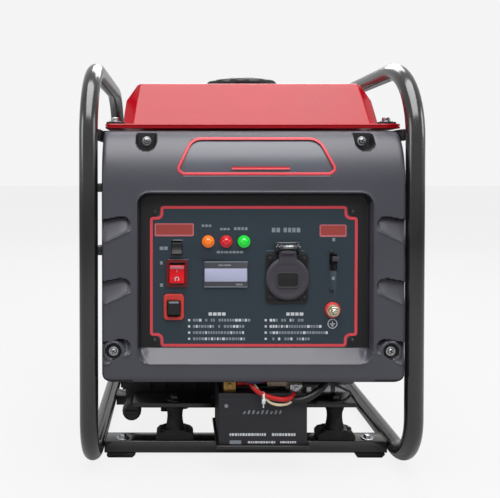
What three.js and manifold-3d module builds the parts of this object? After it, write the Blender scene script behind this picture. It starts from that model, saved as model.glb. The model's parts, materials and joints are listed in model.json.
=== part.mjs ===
// Open-frame inverter generator: two closed tube hoops carry a base of three rails, a small
// air-cooled engine with an outer-rotor alternator, a fuel tank and a moulded control panel.
// Millimetres, +Z up, X to the right seen from the panel, the panel faces -Y.
// The origin is the centre of the rectangle the object stands in, at floor level.

import * as THREE from 'three';
import { mergeVertices } from 'three/addons/utils/BufferGeometryUtils.js';
import Module from 'manifold-3d';

const wasm = await Module();
wasm.setup();

// ---------------------------------------------------------------- driving dimensions
const GAP = 0.3;                 // clearance left between touching pieces
const TUBE_R = 11;               // hoop tube, 22 mm outside diameter
const HOOP_X = 193;              // hoop planes at x = +-193
const HOOP_Y = 190;              // front and rear uprights at y = +-190
const HOOP_LOW = 13.5;            // height of the bottom run's centre line
const HOOP_HIGH = 497;           // height of the top run's centre line
const HOOP_BEND_TOP = 90;
const HOOP_BEND_LOW = 60;
const TUBE_SIDES = 12;
const EAR_X = 158;               // inner end of the ears the tank is bolted to

const RAIL_TOP = 21;             // top face of the base rails
const RAIL_LOW = 5.5;
const RAIL_WALL = 2.5;
const RAIL_W = 27;
const RAIL_HALF = HOOP_X - TUBE_R - GAP;
const RAIL_FRONT_Y = -118.5;
const RAIL_MIDDLE_Y = 43.5;
const RAIL_REAR_Y = 118.5;
const FOOT_X = 160;              // middle of a rubber foot
const FOOT_L = 37;

const MOUNT_LEFT_X = -91;
const MOUNT_RIGHT_X = 117;
const BED_LOW = 64;              // underside of the steel plate the engine stands on
const BED_TOP = 70;

const AXIS_Y = -15;              // crankshaft, parallel to X
const AXIS_Z = 172;
const BORE_X = -75;              // middle of the cylinder along the crankshaft
const TILT = THREE.MathUtils.degToRad(15);
const SHAFT_R = 15;
const SHROUD_R = 100;
const SHROUD_X0 = 6;
const SHROUD_X1 = 118;
const PULLEY_R = 45;

const TANK_X = 4.5;              // middle of the tank
const TANK_TOP = 480;
const TANK_SEAM = 420;           // underside of the tank's seam flange
const TANK_WALL = 2;
const FILLER_X = 3;
const FILLER_Y = -40;

const PANEL_X = 1.5;             // middle of the panel housing
const PANEL_HALF = 178.5;
const PANEL_LOW = 118;
const PANEL_TOP = 417;
const PANEL_FRONT = -199;
const PANEL_BACK = -150;
const PANEL_WALL = 3;
const PLATE_X = 3;               // middle of the face plate
const PLATE_Z = 242.3;
const PLATE_W = 248;
const PLATE_H = 169;
const PLATE_FRONT = -186;
const PLATE_BACK = -183;

// ---------------------------------------------------------------- materials
function finish(color, roughness, metalness) {
  return new THREE.MeshStandardMaterial({ color, roughness, metalness });
}

const blackPaint = () => finish(0x1d1d1f, 0.45, 0.3);
const blackPlastic = () => finish(0x232329, 0.5, 0);
const darkPlastic = () => finish(0x17171a, 0.6, 0);
const rubber = () => finish(0x1a1a1a, 0.9, 0);
const castMetal = () => finish(0x9a9c9e, 0.55, 0.8);
const darkCast = () => finish(0x2b2b2d, 0.6, 0.5);
const steel = () => finish(0xb8bbc0, 0.35, 1);
const redPaint = () => finish(0xc4101f, 0.3, 0.1);
const redPlastic = () => finish(0xe02020, 0.4, 0);

// ---------------------------------------------------------------- solids
function solid(geometry) {
  const bare = geometry.clone();
  bare.deleteAttribute('normal');
  bare.deleteAttribute('uv');
  const merged = mergeVertices(bare, 1e-4);
  const index = [];
  for (let i = 0; i < merged.index.count; i += 3) {
    const [a, b, c] = [0, 1, 2].map((k) => merged.index.getX(i + k));
    if (a !== b && b !== c && a !== c) index.push(a, b, c);
  }
  return new wasm.Manifold(new wasm.Mesh({
    numProp: 3,
    vertProperties: new Float32Array(merged.attributes.position.array),
    triVerts: new Uint32Array(index),
  }));
}

function geometryOf(body) {
  const mesh = body.getMesh();
  const geometry = new THREE.BufferGeometry();
  geometry.setAttribute('position', new THREE.BufferAttribute(new Float32Array(mesh.vertProperties), 3));
  geometry.setIndex(new THREE.BufferAttribute(new Uint32Array(mesh.triVerts), 1));
  geometry.computeVertexNormals();
  return geometry;
}

function join(...bodies) {
  return bodies.reduce((whole, body) => whole.add(body));
}

function cut(body, ...tools) {
  return tools.reduce((rest, tool) => rest.subtract(tool), body);
}

// A box between two corners.
function box(x0, x1, y0, y1, z0, z1) {
  const geometry = new THREE.BoxGeometry(x1 - x0, y1 - y0, z1 - z0);
  return solid(geometry.translate((x0 + x1) / 2, (y0 + y1) / 2, (z0 + z1) / 2));
}

const AXES = {
  x: [new THREE.Vector3(0, 1, 0), new THREE.Vector3(0, 0, 1), new THREE.Vector3(1, 0, 0)],
  y: [new THREE.Vector3(1, 0, 0), new THREE.Vector3(0, 0, 1), new THREE.Vector3(0, -1, 0)],
  z: [new THREE.Vector3(1, 0, 0), new THREE.Vector3(0, 1, 0), new THREE.Vector3(0, 0, 1)],
};

// Turns a shape drawn in local x, y and raised along local z so that it rises along an axis.
function alongAxis(geometry, axis) {
  return geometry.applyMatrix4(new THREE.Matrix4().makeBasis(...AXES[axis]));
}

// An outline drawn across an axis, raised between two positions on it.
function prism(outline, axis, from, to) {
  const shape = new THREE.Shape(outline.map(([a, b]) => new THREE.Vector2(a, b)));
  const geometry = new THREE.ExtrudeGeometry(shape, { depth: to - from, bevelEnabled: false });
  geometry.translate(0, 0, axis === 'y' ? -to : from);
  return solid(alongAxis(geometry, axis));
}

// A round bar across a centre, between two positions on its axis.
function rod(axis, radius, from, to, a, b, sides = 24) {
  return prism(circle(radius, a, b, sides), axis, from, to);
}

function circle(radius, a, b, sides) {
  return Array.from({ length: sides }, (_, i) => {
    const turn = (i / sides) * Math.PI * 2;
    return [a + radius * Math.cos(turn), b + radius * Math.sin(turn)];
  });
}

// A rectangle with round corners, centred on a, b.
function roundRect(a, b, width, height, radius, steps = 4) {
  const points = [];
  const corners = [[1, 1], [-1, 1], [-1, -1], [1, -1]];
  corners.forEach(([sa, sb], quarter) => {
    for (let i = 0; i <= steps; i += 1) {
      const turn = (quarter + i / steps) * Math.PI / 2;
      points.push([
        a + sa * (width / 2 - radius) + radius * Math.cos(turn),
        b + sb * (height / 2 - radius) + radius * Math.sin(turn),
      ]);
    }
  });
  return points;
}

// A turned piece: the profile is [radius, position] pairs, running up the outside.
function turned(profile, axis, a, b, sides = 32) {
  const points = profile.map(([r, h]) => new THREE.Vector2(r, h));
  const geometry = new THREE.LatheGeometry(points, sides);
  geometry.rotateX(Math.PI / 2);
  if (axis === 'x') geometry.applyMatrix4(new THREE.Matrix4().makeBasis(...AXES.x)).translate(0, a, b);
  if (axis === 'y') geometry.rotateX(-Math.PI / 2).translate(a, 0, b);
  if (axis === 'z') geometry.translate(a, b, 0);
  return solid(geometry);
}

// A skin through outlines of equal point count, each [z, points], listed upwards.
function loft(levels) {
  const count = levels[0][1].length;
  const positions = levels.flatMap(([z, points]) => points.flatMap(([x, y]) => [x, y, z]));
  const index = [];
  for (let k = 0; k + 1 < levels.length; k += 1) {
    for (let i = 0; i < count; i += 1) {
      const a = k * count + i;
      const b = k * count + ((i + 1) % count);
      index.push(a, b, b + count, a, b + count, a + count);
    }
  }
  const last = (levels.length - 1) * count;
  for (let i = 1; i + 1 < count; i += 1) {
    index.push(0, i + 1, i);
    index.push(last, last + i, last + i + 1);
  }
  const geometry = new THREE.BufferGeometry();
  geometry.setAttribute('position', new THREE.Float32BufferAttribute(positions, 3));
  geometry.setIndex(index);
  return geometry;
}

// A line of corner points with bends: rings stand only where the line turns.
class BentLine extends THREE.Curve {
  constructor(corners, bends, steps = 5) {
    super();
    this.points = [corners[0]];
    this.tangents = [corners[1].clone().sub(corners[0]).normalize()];
    for (let i = 1; i + 1 < corners.length; i += 1) {
      const into = corners[i].clone().sub(corners[i - 1]).normalize();
      const out = corners[i + 1].clone().sub(corners[i]).normalize();
      const turn = into.angleTo(out);
      const reach = bends[i - 1] * Math.tan(turn / 2);
      const start = corners[i].clone().addScaledVector(into, -reach);
      const side = out.clone().addScaledVector(into, -out.dot(into)).normalize();
      for (let k = 0; k <= steps; k += 1) {
        const angle = (turn * k) / steps;
        const point = start.clone().addScaledVector(into, bends[i - 1] * Math.sin(angle));
        point.addScaledVector(side, bends[i - 1] * (1 - Math.cos(angle)));
        this.points.push(point);
        const tangent = into.clone().multiplyScalar(Math.cos(angle)).addScaledVector(side, Math.sin(angle));
        this.tangents.push(tangent.normalize());
      }
    }
    this.points.push(corners.at(-1));
    this.tangents.push(corners.at(-1).clone().sub(corners.at(-2)).normalize());
  }

  get steps() {
    return this.points.length - 1;
  }

  getPointAt(u) {
    return this.points[Math.round(u * this.steps)].clone();
  }

  getPoint(u) {
    return this.getPointAt(u);
  }

  getTangentAt(u) {
    return this.tangents[Math.round(u * this.steps)].clone();
  }
}

function tube(corners, bends, radius, sides = TUBE_SIDES, steps = 5) {
  const path = new BentLine(corners.map((p) => new THREE.Vector3(...p)), bends, steps);
  const shape = new THREE.Shape(circle(radius, 0, 0, sides).map(([a, b]) => new THREE.Vector2(a, b)));
  return solid(new THREE.ExtrudeGeometry(shape, { steps: path.steps, extrudePath: path, bevelEnabled: false }));
}

const generator = new THREE.Group();

function place(name, body, material, group = generator) {
  const geometry = body instanceof THREE.BufferGeometry ? body : geometryOf(body);
  const mesh = new THREE.Mesh(geometry, material);
  mesh.name = name;
  group.add(mesh);
  return mesh;
}

// ---------------------------------------------------------------- frame
// Each hoop is one closed tube with a flat tank bar and two panel tabs welded to its inner side.
function hoop(side) {
  const x = side * HOOP_X;
  const halves = [-1, 1].map((end) => tube(
    [[x, 0.5 * -end, HOOP_LOW], [x, end * HOOP_Y, HOOP_LOW], [x, end * HOOP_Y, HOOP_HIGH],
      [x, 0.5 * -end, HOOP_HIGH]],
    [HOOP_BEND_LOW, HOOP_BEND_TOP],
    TUBE_R,
    TUBE_SIDES,
    7,
  ));
  const inner = HOOP_X - TUBE_R;
  const span = (low, high) => (side > 0 ? [low, high] : [-high, -low]);
  const bar = box(...span(inner - 2, inner + 2), -183, 183, 404, 418);
  const ears = [-1, 1].map((end) => box(...span(EAR_X, inner + 2), end * 134 - 14, end * 134 + 14, 414, 418));
  const tabFoot = side * PANEL_X + PANEL_HALF + GAP;
  const tabs = [348, 273].map((z) => box(...span(tabFoot, inner + 3), -190, -168, z - 5, z + 5));
  return join(...halves, bar, ...ears, ...tabs);
}

place('hoop_left', hoop(-1), blackPaint());
place('hoop_right', hoop(1), blackPaint());

// A downward channel with its flat top under the engine's rubber mounts.
function rail(y) {
  const outer = RAIL_W / 2;
  const inner = outer - RAIL_WALL;
  const under = RAIL_TOP - RAIL_WALL;
  const section = [[y - outer, RAIL_LOW], [y - inner, RAIL_LOW], [y - inner, under], [y + inner, under],
    [y + inner, RAIL_LOW], [y + outer, RAIL_LOW], [y + outer, RAIL_TOP], [y - outer, RAIL_TOP]];
  return prism(section, 'x', -RAIL_HALF, RAIL_HALF);
}

place('rail_front', rail(RAIL_FRONT_Y), blackPaint());
place('rail_middle', rail(RAIL_MIDDLE_Y), blackPaint());
place('rail_rear', rail(RAIL_REAR_Y), blackPaint());

// A rubber foot: a tread under the rail and a plug inside its channel.
function foot(x, y) {
  const half = FOOT_L / 2;
  const tread = [[x - half, 2], [x - half + 2, 0], [x + half - 4, 0], [x + half, 4],
    [x + half, RAIL_LOW - GAP], [x - half, RAIL_LOW - GAP]];
  const plug = box(x - 12, x + 12, y - 10, y + 10, 3, RAIL_TOP - RAIL_WALL - GAP);
  return join(prism(tread, 'y', y - 15, y + 15), plug);
}

for (const [end, y] of [['front', RAIL_FRONT_Y], ['rear', RAIL_REAR_Y]]) {
  place(`foot_${end}_left`, foot(-FOOT_X, y), rubber());
  place(`foot_${end}_right`, foot(FOOT_X, y), rubber());
}

// A rubber engine mount: square base on the rail, round column up to the bed plate.
function engineMount(x, y) {
  const base = box(x - 24, x + 24, y - 13, y + 13, RAIL_TOP + GAP, 33);
  return join(base, rod('z', 12, 32, BED_LOW - GAP, x, y, 20));
}

for (const [end, y] of [['front', RAIL_FRONT_Y], ['rear', RAIL_MIDDLE_Y]]) {
  place(`engine_mount_${end}_left`, engineMount(MOUNT_LEFT_X, y), rubber());
  place(`engine_mount_${end}_right`, engineMount(MOUNT_RIGHT_X, y), rubber());
}

// ---------------------------------------------------------------- engine
const SUMP = [-158, -8, -80, 22];
const bed = cut(
  box(-145, 142, -132, 57, BED_LOW, BED_TOP),
  box(SUMP[0] - 2, SUMP[1] + 2, SUMP[2] - 2, SUMP[3] + 2, BED_LOW - 5, BED_TOP + 5),
  box(-44, 69, -140, -98, BED_LOW - 5, BED_TOP + 5),
);
place('engine_bed_plate', bed, blackPaint());

const CASE_X0 = -148;
const CASE_X1 = -3;
const FILL_X = -148;
const FILL_Z = 51;
// The rear of the case ends in a deck square to the cylinder.
const caseSection = [[-95, BED_TOP + GAP], [60, BED_TOP + GAP], [60, 150], [88.3, 156.2], [66.6, 237.3],
  [38, 242], [-70, 242], [-95, 218]];
const crankcase = cut(
  join(
    prism(caseSection, 'x', CASE_X0, CASE_X1),
    box(...SUMP, 44, 80),
    rod('y', 10, -98, -75, FILL_X, FILL_Z, 16),
    rod('x', 40, -154, CASE_X0 + 2, AXIS_Y, AXIS_Z, 24),
  ),
  rod('x', SHAFT_R + 0.5, -140, 10, AXIS_Y, AXIS_Z, 20),
  rod('y', 6, -100, -50, FILL_X, FILL_Z, 12),
);
place('crankcase', crankcase, darkCast());

const dipstick = turned([[0, -114], [11, -114], [12, -112], [12, -100], [10, -98 - GAP], [5, -98 - GAP],
  [5, -90], [2, -88], [2, -56], [0, -56]], 'y', FILL_X, FILL_Z, 16);
place('oil_dipstick', dipstick, darkPlastic());

// The cylinder leans back from the crankcase; its group's +Z runs along the bore.
const barrel = new THREE.Group();
barrel.position.set(BORE_X, AXIS_Y, AXIS_Z);
barrel.rotation.x = -(Math.PI / 2 - TILT);
generator.add(barrel);

const BLOCK_START = 96;
const HEAD_START = 146;
const HEAD_END = 168;
const COVER_END = 186;
const fins = Array.from({ length: 6 }, (_, i) => {
  const z = BLOCK_START + 6 + i * 7.4;
  return prism(roundRect(0, 0, 96, 92, 12, 3), 'z', z, z + 2.6);
});
place('cylinder', join(prism(roundRect(0, 0, 74, 74, 16, 3), 'z', BLOCK_START, HEAD_START - GAP), ...fins),
  castMetal(), barrel);
const headBlock = prism(roundRect(0, 0, 94, 90, 10, 3), 'z', HEAD_START, HEAD_END - GAP);
const headGrooves = [-32, -16, 0, 16, 32]
  .map((x) => box(x - 2.5, x + 2.5, -46, -36, HEAD_START - 1, HEAD_END + 1));
place('cylinder_head', cut(headBlock, ...headGrooves), castMetal(), barrel);
const coverTop = loft([
  [HEAD_END, roundRect(0, 0, 84, 76, 14, 3)],
  [COVER_END - 5, roundRect(0, 0, 80, 72, 14, 3)],
  [COVER_END, roundRect(0, 0, 70, 62, 12, 3)],
]);
place('valve_cover', coverTop, blackPaint(), barrel);

// Plug and its rubber cap stand on the head's upper side.
const plug = join(rod('y', 7, 45 + GAP, 58, 30, 157, 6), rod('y', 9, 57, 88, 30, 157, 12),
  box(22, 38, 80, 88, 120, 157));
const plugMesh = place('spark_plug_cap', plug, rubber(), barrel);
plugMesh.rotation.z = Math.PI;

const shaft = join(
  rod('x', SHAFT_R, -138, 12, AXIS_Y, AXIS_Z, 20),
  rod('x', 12, 10, 62, AXIS_Y, AXIS_Z, 16),
);
place('crankshaft', shaft, steel());

// Alternator: a wound stator inside a bell-shaped rotor with fan blades on its outer face.
const stator = cut(
  turned([[20, CASE_X1 + GAP], [32, CASE_X1 + GAP], [32, 14], [76, 14], [76, 46], [20, 46],
    [20, CASE_X1 + GAP]], 'x', AXIS_Y, AXIS_Z, 36),
  ...Array.from({ length: 12 }, (_, i) => {
    const turn = (i / 12) * Math.PI * 2;
    return rod('x', 4, 10, 50, AXIS_Y + 60 * Math.cos(turn), AXIS_Z + 60 * Math.sin(turn), 6);
  }),
);
place('alternator_stator', stator, finish(0x8a4a22, 0.6, 0.4));

const bell = turned([[12 + GAP, 52], [90, 52], [90, 62], [30, 62], [30, 66], [12 + GAP, 66], [12 + GAP, 52]],
  'x', AXIS_Y, AXIS_Z, 36);
const rim = turned([[79, 14], [90, 14], [90, 56], [79, 56], [79, 14]], 'x', AXIS_Y, AXIS_Z, 36);
const blades = Array.from({ length: 12 }, (_, i) => {
  const blade = new THREE.BoxGeometry(22, 3, 30).translate(0, 0, 70);
  blade.rotateX((i / 12) * Math.PI * 2 + 0.13).translate(72, AXIS_Y, AXIS_Z);
  return solid(blade);
});
place('alternator_rotor', join(bell, rim, ...blades), darkCast());

// Fan shroud: a drum with an inner ring plate, open towards the recoil starter.
const shroud = cut(
  join(
    turned([[42, SHROUD_X0], [SHROUD_R, SHROUD_X0], [SHROUD_R, SHROUD_X1], [SHROUD_R - 4, SHROUD_X1],
      [SHROUD_R - 4, SHROUD_X0 + 4], [42, SHROUD_X0 + 4], [42, SHROUD_X0]], 'x', AXIS_Y, AXIS_Z, 40),
    box(20, 104, AXIS_Y - 50, AXIS_Y + 50, BED_TOP + GAP, 84),
  ),
  rod('x', SHROUD_R - 4, SHROUD_X0 + 4, SHROUD_X1 + 1, AXIS_Y, AXIS_Z, 40),
);
place('fan_shroud', shroud, blackPlastic());

// Recoil starter cover with ventilation windows and a centre post for the pulley.
const COVER_X = SHROUD_X1 + GAP;
const coverShell = turned([[SHROUD_R, COVER_X], [SHROUD_R, COVER_X + 5], [92, COVER_X + 14], [70, COVER_X + 36],
  [0, COVER_X + 36], [0, COVER_X + 33], [68, COVER_X + 33], [89, COVER_X + 13], [89, COVER_X],
  [SHROUD_R, COVER_X]], 'x', AXIS_Y, AXIS_Z, 36);
const windows = Array.from({ length: 8 }, (_, i) => {
  const turn = ((i + 0.5) / 8) * Math.PI * 2;
  const hole = new THREE.BoxGeometry(30, 8, 34).translate(0, 0, 42).rotateX(turn);
  return solid(hole.translate(COVER_X + 34, AXIS_Y, AXIS_Z));
});
const ROPE_Y = AXIS_Y - 62;
const ROPE_Z = AXIS_Z + 62;
const post = rod('x', 7, COVER_X + 8, COVER_X + 34, AXIS_Y, AXIS_Z, 12);
const guide = cut(rod('x', 12, COVER_X + 4, COVER_X + 38, ROPE_Y, ROPE_Z, 16),
  rod('x', 4, COVER_X - 20, COVER_X + 60, ROPE_Y, ROPE_Z, 10));
const ropeWell = rod('x', 8, COVER_X - 1, COVER_X + 60, ROPE_Y, ROPE_Z, 12);
place('recoil_cover', join(cut(coverShell, ...windows, ropeWell), post, guide), blackPlastic());

const pulleyX = COVER_X + 12;
const pulley = turned([[7 + GAP * 2, pulleyX], [PULLEY_R + 5, pulleyX], [PULLEY_R + 5, pulleyX + 2],
  [PULLEY_R, pulleyX + 4], [PULLEY_R, pulleyX + 10], [PULLEY_R + 5, pulleyX + 12],
  [PULLEY_R + 5, pulleyX + 14], [7 + GAP * 2, pulleyX + 14], [7 + GAP * 2, pulleyX]],
'x', AXIS_Y, AXIS_Z, 24);
const pawlHole = rod('x', 4, pulleyX - 1, pulleyX + 16, AXIS_Y + 26, AXIS_Z, 8);
place('recoil_pulley', cut(pulley, pawlHole), darkPlastic());

// T-shaped grip with the short end of its rope in the guide.
const gripX = COVER_X + 38 + GAP;
const grip = join(
  prism(roundRect(gripX + 10, ROPE_Z, 16, 72, 7, 3), 'y', ROPE_Y - 9, ROPE_Y + 9),
  rod('x', 8, gripX, gripX + 8, ROPE_Y, ROPE_Z, 12),
  rod('x', 2.5, gripX - 22, gripX + 4, ROPE_Y, ROPE_Z, 8),
);
place('pull_handle', grip, darkPlastic());

// Electric starter motor in front of the shroud.
const starter = join(rod('x', 14, 79, 128, -108, 84.6, 20), rod('x', 8, 72, 80, -108, 84.6, 12),
  rod('x', 6, 127, 133, -108, 84.6, 12));
place('starter_motor', starter, steel());

// Exhaust: can above the alternator, elbow from the head's right port, short outlet.
const MUFFLER_Y = 112;
const MUFFLER_Z = 326;
const can = turned([[0, 8], [36, 8], [44, 16], [44, 152], [36, 160], [0, 160]], 'x', MUFFLER_Y, MUFFLER_Z, 28);
const elbow = tube([[-26.5, 134, 212], [40, 134, 212], [40, 120, 290]], [26], 11, 10, 4);
const outletPipe = tube([[150, MUFFLER_Y, MUFFLER_Z], [172, MUFFLER_Y, MUFFLER_Z], [172, 150, MUFFLER_Z]],
  [12], 9, 10, 3);
const outletHole = rod('y', 7, 134, 160, 172, MUFFLER_Z, 10);
place('muffler', cut(join(can, elbow, outletPipe), outletHole), finish(0x6d6a66, 0.6, 0.8));

// Perforated heat guard over the can's outer side, standing off it on the can's height.
const guardOuter = rod('x', 54, 14, 154, MUFFLER_Y, MUFFLER_Z, 28);
const guardInner = rod('x', 52, 10, 160, MUFFLER_Y, MUFFLER_Z, 28);
const guardSlots = Array.from({ length: 9 }, (_, i) => {
  const slot = new THREE.BoxGeometry(104, 5, 30).translate(0, 0, 53);
  slot.rotateX(((i - 4) / 9) * Math.PI * 0.86 - Math.PI * 0.27);
  return solid(slot.translate(84, MUFFLER_Y, MUFFLER_Z));
});
const guardTrim = box(0, 170, MUFFLER_Y - 60, MUFFLER_Y - 20, MUFFLER_Z - 60, MUFFLER_Z + 38);
const guardUnder = box(0, 170, MUFFLER_Y - 60, MUFFLER_Y + 30, MUFFLER_Z - 60, MUFFLER_Z - 25);
place('muffler_guard', cut(guardOuter, guardInner, guardTrim, guardUnder, ...guardSlots), blackPaint());

// Carburettor on the head's left port, choke lever on its outer face, filter box above.
const CARB_Y = 136;
const CARB_Z = 213;
const carburettor = join(
  box(-150, -124, CARB_Y - 14, CARB_Y + 14, CARB_Z - 16, CARB_Z + 18),
  rod('z', 13, CARB_Z - 40, CARB_Z - 14, -138, CARB_Y, 16),
  rod('x', 11, -126, -122.5, CARB_Y, CARB_Z, 12),
  rod('x', 3, -156, -148, CARB_Y, CARB_Z + 6, 8),
);
place('carburettor', carburettor, castMetal());

const CHOKE_Z = CARB_Z + 6;
const choke = cut(
  join(rod('x', 7, -154.5, -151, CARB_Y, CHOKE_Z, 14),
    prism(roundRect(CARB_Y - 17, CHOKE_Z, 34, 8, 3.5, 2), 'x', -154.5, -151),
    prism(roundRect(CARB_Y - 32, CHOKE_Z, 10, 16, 4, 2), 'x', -162, -151)),
  rod('x', 3.4, -160, -149, CARB_Y, CHOKE_Z, 8),
);
place('choke_lever', choke, darkPlastic());

const filterBox = join(
  prism(roundRect(118, 292, 96, 104, 14, 4), 'x', -170, -127),
  prism(roundRect(118, 292, 90, 98, 12, 4), 'x', -177, -169),
  rod('z', 11, CARB_Z + 18 + GAP, 245, -138, CARB_Y, 16),
  rod('x', 5, -181, -176, 118, 322, 6),
);
place('air_filter_box', filterBox, blackPlastic());

// ---------------------------------------------------------------- fuel system
// Tank outline seen from above: a rectangle with cut corners.
function tankOutline(half, front, rear, corner, inset = 0) {
  const w = half - inset;
  const f = front + inset;
  const r = rear - inset;
  const c = corner;
  return [[w - c, r], [-w + c, r], [-w, r - c], [-w, f + c], [-w + c, f], [w - c, f], [w, f + c], [w, r - c]]
    .map(([x, y]) => [x + TANK_X, y]);
}

const tankLevels = [
  [392, 128, -112, 122, 30],
  [402, 146, -134, 140, 22],
  [TANK_SEAM, 154, -144, 148, 16],
  [TANK_SEAM + 6, 161.5, -152, 152, 14],
  [458, 157.5, -134.2, 148, 12],
  [TANK_TOP, 142, -122, 134, 9],
];
const tankOuter = loft(tankLevels.map(([z, ...shape]) => [z, tankOutline(...shape)]));
const tankInner = loft(tankLevels.map(([z, ...shape]) => {
  const lift = z === TANK_TOP ? -TANK_WALL : z === tankLevels[0][0] ? TANK_WALL : 0;
  return [z + lift, tankOutline(...shape, TANK_WALL)];
}));
const seam = join(
  prism(roundRect(5, 0, 364, 322, 6, 3), 'z', TANK_SEAM, TANK_SEAM + 6),
  rod('z', 32, TANK_TOP - 3, TANK_TOP + 7, FILLER_X, FILLER_Y, 28),
);
const boltHoles = [-167, 177].flatMap((x) => [-134, 134].map((y) => rod('z', 4.5, TANK_SEAM - 2,
  TANK_SEAM + 8, x, y, 10)));
const tank = cut(
  join(solid(tankOuter), seam),
  solid(tankInner),
  rod('z', 30, TANK_TOP - 6, TANK_TOP + 10, FILLER_X, FILLER_Y, 28),
  ...boltHoles,
);
place('fuel_tank', tank, redPaint());

const strainer = turned([[0, 458], [28, 458], [28, TANK_TOP + 7 + GAP], [31, TANK_TOP + 7 + GAP],
  [31, TANK_TOP + 8.5], [26.5, TANK_TOP + 8.5], [26.5, 459.5], [0, 459.5]], 'z', FILLER_X, FILLER_Y, 24);
place('fuel_strainer', strainer, finish(0xd8d4c4, 0.6, 0));

const capBody = turned([[33, 484], [46, 484], [48, 486], [48, 492.5], [45, 495], [0, 495], [0, 490.5],
  [33, 490.5], [33, 484]], 'z', FILLER_X, FILLER_Y, 32);
const lobes = Array.from({ length: 10 }, (_, i) => {
  const turn = (i / 10) * Math.PI * 2;
  return rod('z', 8, 485, 493, FILLER_X + 43 * Math.cos(turn), FILLER_Y + 43 * Math.sin(turn), 10);
});
place('fuel_cap', join(capBody, ...lobes), darkPlastic());

// Shut-off cock under the tank's left front corner, with a quarter-turn lever and a hose.
const COCK_X = -120;
const COCK_Y = -88;
const cock = join(
  rod('z', 9, 362, 392 - GAP, COCK_X, COCK_Y, 12),
  box(COCK_X - 14, COCK_X + 10, COCK_Y - 9, COCK_Y + 9, 358, 376),
  rod('z', 4, 344, 360, COCK_X, COCK_Y, 10),
);
place('fuel_cock', cock, castMetal());

const cockLever = join(
  rod('x', 8, COCK_X - 20, COCK_X - 14 - GAP, COCK_Y, 367, 14),
  prism(roundRect(COCK_Y, 352, 9, 38, 4, 2), 'x', COCK_X - 23, COCK_X - 18),
);
place('fuel_cock_lever', cockLever, redPlastic());

const hose = tube([[COCK_X, COCK_Y, 344 - GAP], [COCK_X, COCK_Y, 300], [-156, -40, 262], [-156, 84, 190],
  [-138, 102, 186], [-138, CARB_Y - 13 - GAP, 186]], [18, 20, 12, 12], 4.5, 8, 3);
place('fuel_hose', hose, rubber());

// ---------------------------------------------------------------- inverter module behind the panel
const inverterFins = Array.from({ length: 15 }, (_, i) => {
  const x = -112 + i * 16;
  return box(x, x + 3, -113, -100, 256, 374);
});
const inverterStrap = box(-PANEL_HALF, PANEL_HALF, PANEL_BACK + GAP, -145, 300, 330);
const inverter = join(box(-120, 120, -146, -112, 250, 380), inverterStrap, ...inverterFins);
place('inverter_module', inverter, finish(0xa9adb1, 0.5, 0.8));

// ---------------------------------------------------------------- control panel
const panelOuter = [[PANEL_BACK, PANEL_LOW], [-192, PANEL_LOW], [-197, PANEL_LOW + 3],
  [PANEL_FRONT, PANEL_LOW + 8], [PANEL_FRONT, 352], [-197, 368], [-191, 384], [-182, 399],
  [-172, 410], [-160, PANEL_TOP], [PANEL_BACK, PANEL_TOP]].reverse();
const panelInner = panelOuter.map(([y, z]) => {
  const back = y === PANEL_BACK ? 5 : PANEL_WALL;
  const drop = z >= PANEL_TOP ? -PANEL_WALL : z > 352 ? -1.5 : z <= PANEL_LOW ? PANEL_WALL : z < 140 ? 2 : 0;
  return [y + back, z + drop];
});
const midZ = (PANEL_LOW + PANEL_TOP) / 2;
const frontOutline = (inset) => roundRect(PANEL_X, midZ, 2 * (PANEL_HALF - inset), PANEL_TOP - PANEL_LOW - 2 * inset,
  16 - inset, 4);
const shellOuter = prism(panelOuter, 'x', PANEL_X - PANEL_HALF, PANEL_X + PANEL_HALF)
  .intersect(prism(frontOutline(0), 'y', PANEL_FRONT - 5, PANEL_BACK + 1));
const shellInner = prism(panelInner, 'x', PANEL_X - PANEL_HALF + PANEL_WALL, PANEL_X + PANEL_HALF - PANEL_WALL)
  .intersect(prism(frontOutline(PANEL_WALL), 'y', PANEL_FRONT - 5, PANEL_BACK + 8));
const recessMouth = roundRect(PLATE_X, PLATE_Z, 277, 201, 15, 3);
const recessFloor = roundRect(PLATE_X, PLATE_Z, PLATE_W, PLATE_H, 5, 3);
// The recess tapers from the housing's face to the plate, so it is a loft laid on its side.
const recess = loft([
  [0, recessFloor.map(([x, z]) => [x, z])],
  [PLATE_FRONT - PANEL_FRONT, recessMouth],
  [PLATE_FRONT - PANEL_FRONT + 2, recessMouth],
]).applyMatrix4(new THREE.Matrix4().makeBasis(...AXES.y)).translate(0, PLATE_FRONT, 0);
const collar = prism(roundRect(PLATE_X, PLATE_Z, 283, 207, 17, 3), 'y', PANEL_FRONT + 1, PLATE_BACK + 3);
const housing = cut(
  join(cut(shellOuter, shellInner), collar),
  solid(recess),
  prism(recessFloor, 'y', PLATE_FRONT - 1, PLATE_BACK),
  prism(roundRect(PLATE_X, PLATE_Z, PLATE_W - 8, PLATE_H - 8, 4, 3), 'y', PLATE_BACK - 1, PLATE_BACK + 4),
);
place('panel_housing', housing, blackPlastic());

// Face plate with the devices' cut-outs.
const OUTLET = [42.5, 240.4];
const METER = [-30.3, 245];
const ROCKER = [-88.5, 246.3];
const ECO = [-88.7, 276.3];
const RESET = [-92.2, 206.2];
const BREAKER = [97.7, 259];
const EARTH = [97, 202.4];
const LAMPS = { orange: -51.3, red: -29.9, green: -8.8 };
const LAMP_Z = 284.2;

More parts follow.
